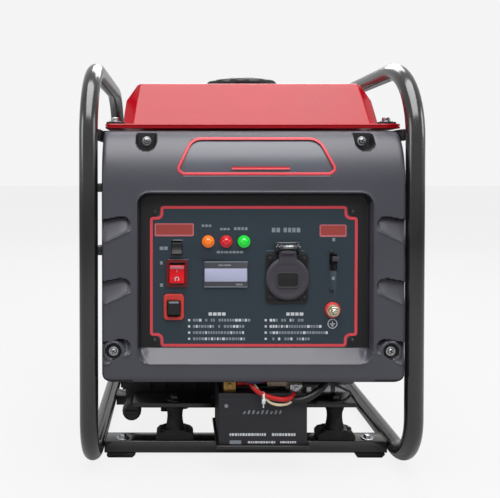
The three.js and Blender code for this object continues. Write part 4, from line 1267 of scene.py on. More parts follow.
class GENERATOR_OT_face(GeneratorOperator):
    """Screen-printed face plate with outline, label fields and marks"""

    bl_idname = "generator.build_face"
    bl_label = "Face plate"

    def build(self, settings):
        plate = Box("face_plate")
        self.front = plate.y0
        self.plate = plate
        parts = [(refined("face_plate", 0.3, 1), "sheet"), (self.outline(), "red_ink")]
        # Near-black sheets in the outline's stepped corners: painted shade.
        for sx in (-1, 1):
            for sz in (-1, 1):
                parts.append((self.notch_shade(sx, sz), "well"))
        for dx, dz, w, h in [(-94.6, 55.6, 46.5, 15.4), (94.3, 54.6, 32, 14.6)]:
            parts.append((self.field(dx, dz, w, h, 1.6), "pink_ink"))
            parts.append((self.field(dx, dz + 0.4, w - 3, h - 3.4, 1.0, 0.22), "label_ink"))
        parts += self.marks()
        corners = [(plate.cx + sx * 118.0, plate.y0, plate.cz + sz * 76.5)
                   for sx in (-1, 1) for sz in (-1, 1)]
        parts.append((bolts(corners, (0, -1, 0), 2.2, 1.2, 3.0, sides=20), "plate"))
        piece("panel_face", parts, "face_plate")

    def field(self, dx, dz, width, height, radius=0.3, lift=0.16):
        """A printed patch, placed from the plate's middle."""
        outline = round_rect(self.plate.cx + dx, self.plate.cz + dz, width, height, radius, 3)
        return prism(outline, "y", self.front - lift, self.front + 0.1)

    def notch_shade(self, sx, sz):
        """The corner outside the printed outline: a near-black sheet, painted shade of the recess behind."""
        plate = self.plate
        w, h = plate.sx / 2, plate.sz / 2
        corner = [(0, 0), (0, 13.4), (6, 13.2), (10, 10), (12.4, 5), (12.6, 0)]
        outline = [(plate.cx + sx * (w - a), plate.cz + sz * (h - b)) for a, b in corner]
        return prism(outline, "y", self.front - 0.1, self.front + 0.1)

    def outline(self):
        """The printed line round the plate, stepped in at the corners."""
        plate = self.plate
        w, h, step_x, step_z = plate.sx / 2 - 1.8, plate.sz / 2 - 1.8, 12.6, 13.0
        corners = []
        for sx, sz in ((1, 1), (-1, 1), (-1, -1), (1, -1)):
            trio = [(w, h - step_z), (w - step_x, h - step_z), (w - step_x, h)]
            trio = [(plate.cx + sx * a, plate.cz + sz * b, 0) for a, b in trio]
            corners += trio if sx == sz else trio[::-1]
        start = (plate.cx + plate.sx / 2 - 1.8, plate.cz, 0)
        line = bend([start, *corners, start], [2.5, 6, 2.5] * 4, 6)[:-1]
        return ribbon([Vector((p.x, p.y)) for p in line], 3.3, "y", self.front - 0.3, self.front + 0.1)

    def marks(self):
        """Small printed marks: bars in place of words, and plain symbols."""
        rng = random.Random(7)
        parts = []

        def words(x, z, widths, height, key="white_ink", space=0.5):
            for width in widths:
                parts.append((self.field(x + width / 2, z, width, height), key))
                x += width + height * space

        # Two blocks of small print under the devices, each with a heading and four rows.
        blocks = [(-76.9, -53.7, (72, 66, 66, 66)), (14.5, 39.0, (42, 66, 72, 50))]
        for left, heading, lengths in blocks:
            words(heading, -44.9, [4, 4.4, 4, 4.4], 3.8, space=0.3)
            for row, length in enumerate(lengths):
                z = -52.3 - 7.45 * row
                words(left - 1.3, z, [2.6], 2.6)
                x = left + 4.6
                while x < left + length:
                    width = rng.choice((2.0, 2.6, 3.2, 2.4))
                    if rng.random() > 0.06:
                        words(x, z, [width], 3.2, "grey_ink" if rng.random() < 0.7 else "white_ink")
                    x += width + 0.9
        # Marks beside the switches, over the outlet and by the breaker.
        for x, z, widths in ((-112, 33.6, [4.4, 4.4]), (-111.6, 16.2, [3.2]), (-111.6, -10.4, [3.6])):
            words(x, z, widths, 4.0, "grey_ink", 0.2)
        for x, z, widths, height, space in (
            (21.4, 55.4, [4.2, 4.2], 5.4, 0.25), (35.5, 55.4, [3.8, 3.8, 3.8, 4.2], 5.4, 0.25),
            (-44, 29.0, [4, 3, 5, 3, 4, 3, 4], 2.6, 0.35), (-62, 60.5, [3, 3.4, 3], 2.8, 0.35),
            (-40, 56.5, [3, 3.4, 3], 2.6, 0.35), (-23.5, 57.0, [3, 3.4, 3, 3], 3.4, 0.35),
            (93.4, 44.0, [3.4], 4.0, 0), (93.0, -2.2, [3.4], 4.0, 0), (-96.5, 43.4, [12], 0.9, 0),
            (-102, 20.2, [24], 0.6, 0), (14.4, 30.6, [10], 0.5, 0), (50.4, 30.6, [10], 0.5, 0),
        ):
            words(x, z, widths, height, "grey_ink", space)
        dots = bolts([(self.plate.cx + 92.6, self.front, self.plate.cz + z) for z in (28.9, -16.5)],
                     (0, -1, 0), 1.9, 1.0, 2.4, sides=16)
        parts.append((dots, "black"))
        # Protective earth symbol in a ring.
        ground = Box("earth_stud")
        cx, cz = ground.cx - self.plate.cx, ground.cz - self.plate.cz - 16.6
        loop = ribbon(circle(5.4, ground.cx, ground.cz - 16.6), 0.9, "y", self.front - 0.16,
                      self.front + 0.1)
        parts.append((loop, "white_ink"))
        parts.append((self.field(cx, cz + 1.8, 0.9, 3.4, 0.2), "white_ink"))
        for step, width in enumerate((6.4, 4.2, 2.0)):
            parts.append((self.field(cx, cz - 0.1 - 1.5 * step, width, 0.9, 0.2), "white_ink"))
        return parts


# ---------------------------------------------------------------- panel devices


class GENERATOR_OT_devices(GeneratorOperator):
    """Meter, pilot lamps, switches, thermal reset, breaker lever and earth terminal"""

    bl_idname = "generator.build_devices"
    bl_label = "Panel devices"

    def build(self, settings):
        self.front = Box("face_plate").y0
        self.meter()
        for colour in ("orange", "red", "green"):
            self.lamp(colour)
        self.start()
        self.economy()
        self.reset()
        self.breaker()
        self.earth()

    def meter(self):
        box = Box("meter")
        rim = round_rect(box.cx, box.cz, box.sx, box.sz - 1.6, 0.8, 3)
        body = prism(rim, "y", box.y0 + 0.2, box.y0 + 2, 0.3)
        well = prism(round_rect(box.cx, box.cz, 45, 26, 1, 2), "y", box.y0 + 1.5, box.y1)
        window = round_rect(box.cx, box.cz - 0.7, box.sx - 1.6, 15.6, 0.5, 2)
        glass = prism(window, "y", box.y0, box.y0 + 1, 0.2)
        parts = [(body, "housing"), (well, "black"), (glass, "display")]
        for dz, height in ((box.sz / 2 - 1.0, 1.0), (-box.sz / 2 + 1.2, 0.9)):
            outline = round_rect(box.cx, box.cz + dz, box.sx - 0.4, height, 0.2, 1)
            parts.append((prism(outline, "y", box.y0 - 0.1, box.y0 + 0.6), "grey_ink"))
        high, low = box.z1 - 5, box.z0 + 4
        for x, z, w in ((box.cx - 6, high, 6), (box.cx + 2, high, 8), (box.cx + 16, low, 8)):
            outline = round_rect(x, z, w, 1.7, 0.2, 1)
            parts.append((prism(outline, "y", box.y0 + 0.05, box.y0 + 0.4), "grey_ink"))
        piece("panel_meter", parts, "meter")

    def lamp(self, colour):
        box = Box(f"pilot_lamp_{colour}")
        dome = turned([(0, 0), (1.6, 0.1), (3.2, 0.7), (4.6, 1.8), (5.5, 3.4), (5.8, 5.2), (5.8, 7.6)],
                      "y", box.cx, box.cz, 36, box.y0)
        collar = turned([(5.6, 5.0), (6.9, 5.2), (7.4, 6.0), (7.4, 8.1), (5.6, 8.1)], "y", box.cx, box.cz,
                        36, box.y0)
        barrel = turned([(4.6, box.y0 + 8.0), (4.6, box.y1), (0, box.y1)], "y", box.cx, box.cz, 24)
        piece(f"lamp_{colour}", [(dome, f"{colour}_lens"), (collar, f"{colour}_lens"), (barrel, "black")],
              f"pilot_lamp_{colour}")

    def rocker(self, node, name, key, marks, slot):
        """A rocker seen from the side: top half flat, bottom half standing out."""
        box = Box(node)
        y, z0, z1 = box.y0, box.z0, box.z1
        mid = z0 + box.sz * 0.53
        side = [(box.y1, mid - 3.4), (box.y1, mid + 3.4), (y + 5.2, z1 - 0.2), (y + 3.3, z1 - 0.5),
                (y + 3.0, z1 - 2.0), (y + 3.3, (mid + z1) / 2), (y + 3.0, mid), (y + 1.6, (mid + z0) / 2),
                (y, z0 + 1.3), (y + 2.0, z0)]
        parts = [(prism(side, "x", box.x0 + 0.05, box.x1 - 0.05, 0.45, 2), key)]
        if marks:
            band = block(box.x0 + 0.8, box.x1 - 0.8, y + 2.85, y + 3.6, z1 - 4.6, z1 - 1.0, 0.3)
            stroke = block(box.cx - 0.55, box.cx + 0.55, y + 2.7, y + 3.6, mid + 1.2, mid + 5.0)
            loop = ribbon(circle(2.2, box.cx, mid - 6.0, 24), 0.9, "y", y + 0.9, y + 2.2)
            parts += [(band, "pink_ink"), (stroke, "pink_ink"), (loop, "white_ink")]
        piece(name, parts, node)

    def start(self):
        box = Box("start_switch_frame")
        outer = round_rect(box.cx, box.cz, box.sx - 3.1, box.sz - 4.0, 1.6, 4)
        rim = ribbon(outer, 3.3, "y", box.y0 + 0.2, box.y0 + 3, round_by=0.7)
        ends = [prism(round_rect(box.cx, box.cz + s * 14.4, box.sx - 4, 3.2, 0.6, 2), "y", box.y0 + 0.4,
                      box.y0 + 3, 0.4) for s in (-1, 1)]
        tunnel = ribbon(round_rect(box.cx, box.cz, 19.4, 26.2, 0.8, 2), 0.9, "y", box.y0 + 0.8, box.y1)
        piece("start_switch_bezel", every("crimson", rim, *ends, tunnel), "start_switch_frame")
        self.rocker("start_rocker", "start_switch_rocker", "red", True, "red_plastic")

    def economy(self):
        self.rocker("economy_rocker", "economy_switch_rocker", "black", False, "black_plastic")

    def reset(self):
        box = Box("reset_frame")
        outer = round_rect(box.cx, box.cz, box.sx - 4.0, box.sz - 4.0, 2.6, 5)
        rim = ribbon(outer, 4.0, "y", box.y0 + 0.3, box.y0 + 3, round_by=0.8)
        tab = round_rect(box.cx, box.z1 - 4.6, box.sx - 6, 6.0, 0.6, 2)
        top = prism(tab, "y", box.y0 + 0.4, box.y0 + 3, 0.4)
        tunnel = ribbon(round_rect(box.cx, box.cz, 16.4, 18.4, 1, 2), 0.9, "y", box.y0 + 0.9, box.y1)
        piece("thermal_reset_frame", [(rim, "signal"), (top, "signal"), (tunnel, "black")], "reset_frame")
        button = Box("reset_button")
        cap = prism(round_rect(button.cx, button.cz, button.sx, button.sz, 2, 4), "y", button.y0, button.y1,
                    1.0, 3)
        dish = turned([(0, 0.5), (4, 0.2), (5.4, -0.1), (5.6, 0.4)], "y", button.cx, button.cz, 28,
                      button.y0)
        # A pale strip along the button's top edge: painted highlight.
        edge = block(button.x0 + 1.6, button.x1 - 1.6, button.y0 - 0.2, button.y0 + 2, button.z1 - 2.6,
                     button.z1 - 0.8)
        piece("thermal_reset_button", [(cap, "black"), (dish, "cover"), (edge, "grey_ink")], "reset_button")

    def breaker(self):
        box = Box("breaker_toggle")
        lever = refined("breaker_toggle", 0.9, 3)
        end = round_rect(box.cx, box.z1 - 2.6, box.sx + 0.6, 5.4, 1, 3)
        tip = prism(end, "y", box.y0 - 0.4, box.y0 + 2.4, 0.5)
        piece("breaker_lever", [(lever, "black"), (tip, "lid")], "breaker_toggle")

    def earth(self):
        box = Box("earth_stud")
        cx, cz, y = box.cx, box.cz, box.y0
        thread = []
        at = y + 0.8
        while at < y + 10.8:
            thread += [(2.6, at), (3.0, at + 0.35), (2.6, at + 0.7)]
            at += 0.8
        stud = turned([(0, y), (2.2, y), *thread, (3, y + 11), (3, box.y1), (0, box.y1)], "y", cx, cz, 24)
        disc = turned([(3, -4.4), (6.4, -4.4), (8.4, -3.6), (9.4, -2.0), (9.4, -0.2), (3, -0.2)], "y", cx,
                      cz, 36, self.front)
        piece("earth_terminal", [(stud, "nickel"), (disc, "signal")], "earth_stud")
        nut = Box("earth_nut")
        washer = turned([(3.4, 0), (7.4, 0), (7.4, -1.2), (3.4, -1.2), (3.4, 0)], "y", nut.cx, nut.cz, 36,
                        nut.y1)
        hexagon = turned([(3.4, nut.y1 - 1.1), (6.5, nut.y1 - 1.1), (6.5, nut.y0 + 1.0), (5.6, nut.y0 + 0.2),
                          (3.6, nut.y0 + 0.2), (3.4, nut.y1 - 1.1)], "y", nut.cx, nut.cz, 6)
        piece("earth_terminal_nut", [(washer, "nickel"), (soften(hexagon, 0.4), "nickel")], "earth_nut")


class GENERATOR_OT_outlet(GeneratorOperator):
    """Socket outlet with its hinged spring lid"""

    bl_idname = "generator.build_outlet"
    bl_label = "Outlet"

    def build(self, settings):
        box = Box("outlet_socket")
        lid = Box("outlet_lid")
        cx, cz = box.cx, box.z0 + 29.4
        face = box.y0 + 7.7
        base = round_rect(cx, cz, box.sx - 3.4, 56.4, 3, 5)
        skirt = ribbon(base, 3.6, "y", face, face + 2.0, round_by=0.5)
        flange = turned([(24.6, 2.0), (24.6, 0.3), (23.6, 0), (20.4, 0), (19.6, 0.6), (19.5, 22), (8, 22),
                         (0, 22)], "y", cx, cz, 48, face)
        webs = [prism(round_rect(cx + sx * 19.2, cz + sz * 22.4, 9.6, 9.6, 2, 3), "y", face + 0.4,
                      face + 2, 0.3) for sx in (-1, 1) for sz in (-1, 1)]
        shell = turned([(22.5, face + 2), (22.5, box.y1), (0, box.y1)], "y", cx, cz, 40)
        pins = [turned([(0, 6), (2.0, 6), (2.4, 7), (2.4, 22), (0, 22)], "y", cx + s * 9.5, cz, 20, face)
                for s in (-1, 1)]
        screws = bolts([(cx + sx * 20.2, face + 0.4, cz + sz * 23.4) for sx in (-1, 1) for sz in (-1, 1)],
                       (0, -1, 0), 2.4, 1.0, 3.0, sides=18)
        parts = every("black", skirt, flange, shell) + [(screws, "well")]
        parts += every("black", *webs) + every("brass", *pins)
        hinge_z, hinge_y = lid.z1 - 3.4, lid.y0 + 3.4
        for s in (-1, 1):
            ear = [(face + 2, hinge_z - 10), (face - 1, hinge_z - 9.4), (face - 7.3, hinge_z - 3.4),
                   (face - 7.7, hinge_z + 0.6), (face - 5.6, hinge_z + 4.4), (face - 1, hinge_z + 5.4),
                   (face + 2, hinge_z + 5.5)]
            parts.append((prism(ear, "x", cx + s * 12 - 1.5, cx + s * 12 + 1.5, 0.4), "black"))
        bridge = block(cx - 13.4, cx + 13.4, face - 0.6, face + 2, hinge_z - 4, hinge_z + 5.5, 0.6)
        pin = turned([(0, -14), (1.5, -14), (1.5, 14), (0, 14)], "x", hinge_y, hinge_z, 20, cx)
        coils = tube([(cx - 9 + 18 * t / 90, hinge_y + 2.5 * math.cos(t * 0.9),
                       hinge_z + 2.5 * math.sin(t * 0.9)) for t in range(91)], 0.45, 8)
        edge = [(cx + a, hinge_z + b) for a, b in ((-13, -5), (-13, 5), (13, 5), (13, -5))]
        parts += [(bridge, "black"), (pin, "zinc"), (coils, "zinc"),
                  (ribbon(edge, 1.3, "y", face - 1.4, face - 0.4, closed=False), "grey_ink")]
        piece("outlet_socket_body", parts, "outlet_socket")
        self.lid(lid, cx, cz, hinge_y, hinge_z)

    def lid(self, box, cx, cz, hinge_y, hinge_z):
        y1 = box.y1
        y0 = y1 - 4.0
        dish = turned([(0, 0.5), (16.6, 0.5), (19.6, 0.4), (21.4, -0.2), (23.4, 0), (25.2, 0.9),
                       (25.8, 2.0), (25.8, 3.6), (25.2, 4.0), (0, 4.0)], "y", cx, cz, 64, y0)
        side = ((-10.2, -14), (-10.2, -3.4), (10.2, -3.4), (10.2, -14), (14, -20), (-14, -20))
        neck = prism([(cx + a, hinge_z + b) for a, b in side], "y", y0 - 0.2, y1, 0.8)
        strap = prism(round_rect(cx, hinge_z - 6, 17.6, 3.6, 1.4, 3), "y", box.y0 + 0.6, y0 + 1, 0.6)
        barrels = [turned([(1.9, a), (3.4, a), (3.4, b), (1.9, b), (1.9, a)], "x", hinge_y, hinge_z, 24, cx)
                   for a, b in ((-9.8, -5.6), (5.6, 9.8))]
        window = round_rect(cx, cz - 1.0, 25.4, 17.4, 3.6, 5)
        frame_band = ribbon(window, 1.6, "y", y0 - 0.9, y0 + 1.2, round_by=0.4)
        pane = prism(round_rect(cx, cz - 1.0, 24.6, 16.6, 3, 4), "y", y0 - 0.3, y0 + 1.0, 0.3)
        gasket = turned([(20.5, 0), (23.6, 0), (23.6, 0.25), (20.5, 0.25), (20.5, 0)], "y", cx, cz, 48, y1)
        parts = every("lid", dish, neck, strap, frame_band) + [(pane, "black"), (gasket, "rubber")]
        parts += every("lid", *barrels)
        piece("outlet_lid_cover", parts, "outlet_lid")


# ---------------------------------------------------------------- engine


class GENERATOR_OT_engine(GeneratorOperator):
    """Crankcase, finned cylinder, head, valve cover, plug lead and dipstick"""

    bl_idname = "generator.build_engine"
    bl_label = "Engine"

    def build(self, settings):
        side = Box("crankcase").x0 + 10
        ribs = bars(6, (side + 24, -95.8, 140), (20, 0, 0), (3, 3, 130), "case", 0.8)
        spots = [(side - 3.6, y, z) for y, z in circle(52, SHAFT_Y, SHAFT_Z, 6)]
        cover = turned([(0, -5.5), (44, -5.5), (57, -3.6), (59, -1), (59, 2), (0, 2)], "x", SHAFT_Y,
                       SHAFT_Z, 56, side)
        drain = bolts([(side + 70, -80.6, 52)], (0, -1, 0), 7, 6, 9.5)
        parts = every("case", refined("crankcase", 1.6), ribs, cover)
        parts += every("zinc", bolts(spots, (-1, 0, 0), 4.6, 4, 6.5), drain)
        parts.append((block(-110, -99, -97, -86, 45, 64.5, 1.0), "case"))
        piece("crankcase_casting", parts, "crankcase")
        plain_piece("cylinder_barrel", "cylinder", "cast", 0.5)
        plain_piece("cylinder_head_casting", "cylinder_head", "cast", 0.8)
        cover_box = Box("valve_cover")
        tilt = math.radians(15)
        way = Vector((0, math.cos(tilt), math.sin(tilt)))
        up = Vector((0, -math.sin(tilt), math.cos(tilt)))
        top = Vector((cover_box.cx, SHAFT_Y, SHAFT_Z)) + way * 186
        spots = [tuple(top + up * 24 * s - way * 0.4 + Vector((28 * t, 0, 0)))
                 for s in (-1, 1) for t in (-1, 1)]
        piece("valve_cover_pressing",
              [(refined("valve_cover", 2.4, 3), "plate"), (bolts(spots, tuple(way), 4.6, 4, 6.4), "zinc")],
              "valve_cover")
        plug = Box("spark_plug_cap")
        lead = smooth_line([(plug.cx, plug.y0 + 6, plug.z1 - 8), (plug.cx + 6, plug.y0 - 20, plug.z1 + 4),
                            (plug.cx + 30, plug.y0 - 60, plug.z1 - 8), (plug.cx + 62, plug.y0 - 84, 262),
                            (plug.cx + 76, plug.y0 - 92, 238)], 8)
        piece("plug_cap_and_lead", [(refined("spark_plug_cap", 1.6, 3), "rubber"),
                                    (tube(lead, 3.2, 14), "cable_black")], "spark_plug_cap")
        dip = Box("oil_dipstick")
        knob = turned([(0, 0), (9.6, 0), (11.4, 1.4), (12, 3.4), (12, 13), (10, 15.4), (5, 15.6), (5, 24),
                       (2, 26), (2, dip.sy), (0, dip.sy)], "y", dip.cx, dip.cz, 40, dip.y0)
        grips = ring(18, 11.9, (1.2, 1.6, 9), (dip.cx, dip.y0 + 8, dip.cz), "y", "black")
        tab = prism(round_rect(dip.cx, dip.cz, 16, 4, 1.4, 3), "y", dip.y0 - 2.6, dip.y0 + 1, 0.8)
        piece("oil_dipstick_cap", every("black", knob, grips, tab), "oil_dipstick")


class GENERATOR_OT_alternator(GeneratorOperator):
    """Shaft, stator, rotor with fan, shroud, recoil starter and starter motor"""

    bl_idname = "generator.build_alternator"
    bl_label = "Alternator and starters"

    def build(self, settings):
        plain_piece("crankshaft_turned", "crankshaft", "steel", 0.8)
        stator = Box("alternator_stator")
        coils = ring(12, 66, (16, 12, 34), (stator.x0 + 33, stator.cy, stator.cz), "x", "copper", 0.13, 2.4)
        piece("stator_windings", [(refined("alternator_stator", 0.5), "steel"), (coils, "copper")],
              "alternator_stator")
        plain_piece("rotor_bell", "alternator_rotor", "case", 0.6)
        shroud = Box("fan_shroud")
        feet = bolts([(shroud.x0 + x, shroud.cy + s * 40, 84) for x in (30, 84) for s in (-1, 1)],
                     (0, 0, 1), 5, 4, 8)
        lip = turned([(100, -3), (102.4, -2.4), (102.8, -1.2), (102.4, 0), (96, 0), (96, -3), (100, -3)],
                     "x", shroud.cy, SHAFT_Z, 72, shroud.x1)
        end = shroud.sx - 2.4
        drum = turned([(42, 0), (98, 0), (100, 2), (100, end), (96, end), (96, 4), (42, 4), (42, 0)], "x",
                      shroud.cy, SHAFT_Z, 72, shroud.x0)
        vents = ring(44, 100, (1.6, 5, 60), (shroud.x0 + 54, shroud.cy, SHAFT_Z), "x", "black",
                     round_by=0.5)
        foot = block(shroud.x0 + 14, shroud.x0 + 98, shroud.cy - 50, shroud.cy + 50, shroud.z0, 84, 1.5)
        parts = every("cover", drum, lip) + [(vents, "black"), (foot, "cover"), (feet, "zinc")]
        piece("fan_shroud_moulding", parts, "fan_shroud")
        self.recoil()
        motor = Box("starter_motor")
        y, z = motor.cy, motor.cz
        nose = [(0, 0), (7.4, 0), (8, 1), (8, 6), (11, 7), (13.6, 8), (14, 10), (14, 20), (13.6, 20.4),
                (13.6, 21.4), (14, 22)]
        tail = [(14, 14), (13.6, 13.6), (13.6, 12.6), (14, 12), (14, 6.4), (13, 5), (6, 4.6), (6, 0), (0, 0)]
        can = turned(nose + [(r, motor.sx - back) for r, back in tail], "x", y, z, 48, motor.x0)
        straps = [turned([(14, 0), (14.8, 0.2), (14.8, 5.8), (14, 6), (14, 0)], "x", y, z, 48, x)
                  for x in (motor.x0 + 14, motor.x1 - 22)]
        rods = bolts([(motor.x1 - 5, y + 9.4 * s, z + 4 * s) for s in (-1, 1)], (1, 0, 0), 2.2, 1.8, 3)
        piece("starter_motor_can", [(can, "steel"), (rods, "zinc")] + every("plate", *straps),
              "starter_motor")

    def recoil(self):
        box = Box("recoil_cover")
        x, y, z = box.x0, box.cy, SHAFT_Z
        body = refined("recoil_cover", 1.0)
        slats = ring(40, 80.5, (15, 2.2, 5), (x + 25, y, z), "x", "black", round_by=0.5)
        rimmed = turned([(100, 0), (101.4, 1), (101.4, 4.4), (99, 6), (96, 6), (96, 0), (100, 0)], "x", y, z,
                        72, x)
        spots = [(x + 6, y + 95 * math.cos(t), z + 95 * math.sin(t)) for t in (0.6, 1.9, 3.4, 4.4, 5.6)]
        parts = every("cover", body, rimmed)
        parts += [(slats, "black"), (bolts(spots, (1, 0, 0), 4.4, 3.6, 6.2), "zinc")]
        piece("recoil_cover_moulding", parts, "recoil_cover")
        plain_piece("recoil_pulley_moulding", "recoil_pulley", "black", 0.6)
        grip = Box("pull_handle")
        gx, gz = grip.x1 - 8, grip.cz
        levels = []
        for i in range(25):
            t = i / 24
            h = -36 + 72 * t
            waist = 0.86 + 0.14 * abs(math.cos(math.pi * t)) ** 1.5
            close = math.sqrt(max(0.02, 1 - abs(2 * t - 1) ** 9))
            levels.append([(gx + 8 * waist * close * a, grip.cy + 9 * waist * close * b, gz + h)
                           for a, b in circle(1.0, sides=28)])
        bar = loft(levels)
        stem = turned([(8, -20), (8, -18), (6, -12), (6, -8)], "x", grip.cy, gz, 24, grip.x1)
        end = turned([(8, -20), (2.5, -20)], "x", grip.cy, gz, 24, grip.x1)
        rope = []
        for i in range(3):
            turn = 2 * math.pi * i / 3
            rope.append(tube([(grip.x0 + t, grip.cy + 1.25 * math.cos(turn + t * 0.9),
                               gz + 1.25 * math.sin(turn + t * 0.9)) for t in range(26)], 1.35, 10))
        piece("pull_grip", every("black", bar, stem, end) + every("cable_cream", *rope), "pull_handle")


class GENERATOR_OT_breathing(GeneratorOperator):
    """Silencer, heat guard, carburettor, choke lever and air filter"""

    bl_idname = "generator.build_breathing"
    bl_label = "Exhaust and intake"

    def build(self, settings):
        y, z = 112, 326
        x0, length = 8, 152
        end = [(0, 0), (34, 0), (37, 0.6), (40.5, 3), (42.6, 6), (44.6, 8), (45, 10), (44, 12)]
        band = [(44, 60), (44.6, 61), (44.6, 64), (44, 65)]
        can = turned(end + band + [(r, length - along) for r, along in end[::-1]], "x", y, z, 64, x0)
        elbow = tube(bend([(-26.4, 134, 212), (40, 134, 212), (40, 120, 290)], (26,), 12), 11, 28)
        flange = prism(round_rect(134, 212, 44, 34, 10, 5), "x", -26.4, -20, 0.8)
        nuts = bolts([(-20, 134 + 16 * s, 212) for s in (-1, 1)], (1, 0, 0), 4.6, 4, 6.5)
        outlet = tube(bend([(152, y, z), (172, y, z), (172, 154, z)], (12,), 10), 9, 28)
        lip = turned([(7, 0), (9.4, 0), (10, 2), (10, 5), (9.4, 6.2), (7.2, 6.2), (7, 5), (7, 0)], "y", 172,
                     z, 32, 150)
        bore = turned([(0, 4.4), (7.4, 4.4), (7.4, 4.3)], "y", 172, z, 28, 150)
        parts = every("silencer", can, elbow, flange) + [(nuts, "zinc")]
        parts += every("silencer", outlet, lip) + [(bore, "rubber")]
        piece("silencer_can", parts, "muffler")
        plain_piece("silencer_guard", "muffler_guard", "plate", 0.3, 1)
        carb = Box("carburettor")
        bowl = turned([(0, -0.4), (9, 0), (12.4, 3), (13, 8), (13, 24), (14, 25), (14, 27)], "z", -138,
                      carb.cy, 36, carb.z0)
        needle = bolts([(-138, carb.cy, carb.z0 + 0.4)], (0, 0, -1), 4.4, 3.2, 6)
        piece("carburettor_body", [(refined("carburettor", 0.9), "cast"), (bowl, "cast"), (needle, "brass")],
              "carburettor")
        plain_piece("choke_lever_arm", "choke_lever", "black", 0.7)
        filt = Box("air_filter_box")
        ribs = bars(5, (filt.x0 + 4.2, 118, 262), (0, 0, 15), (1.6, 62, 3), "black", 0.5)
        knob = turned([(0, 0), (8, 0), (9, 1), (9, 4), (0, 4)], "x", 118, 322, 24, filt.x0)
        seam = ribbon(round_rect(118, 292, 98, 106, 15, 5), 2.4, "x", -158, -154, round_by=0.7)
        parts = [(refined("air_filter_box", 2.0, 3), "cover")] + every("black", ribs, knob)
        piece("air_filter_moulding", parts + [(seam, "cover")], "air_filter_box")


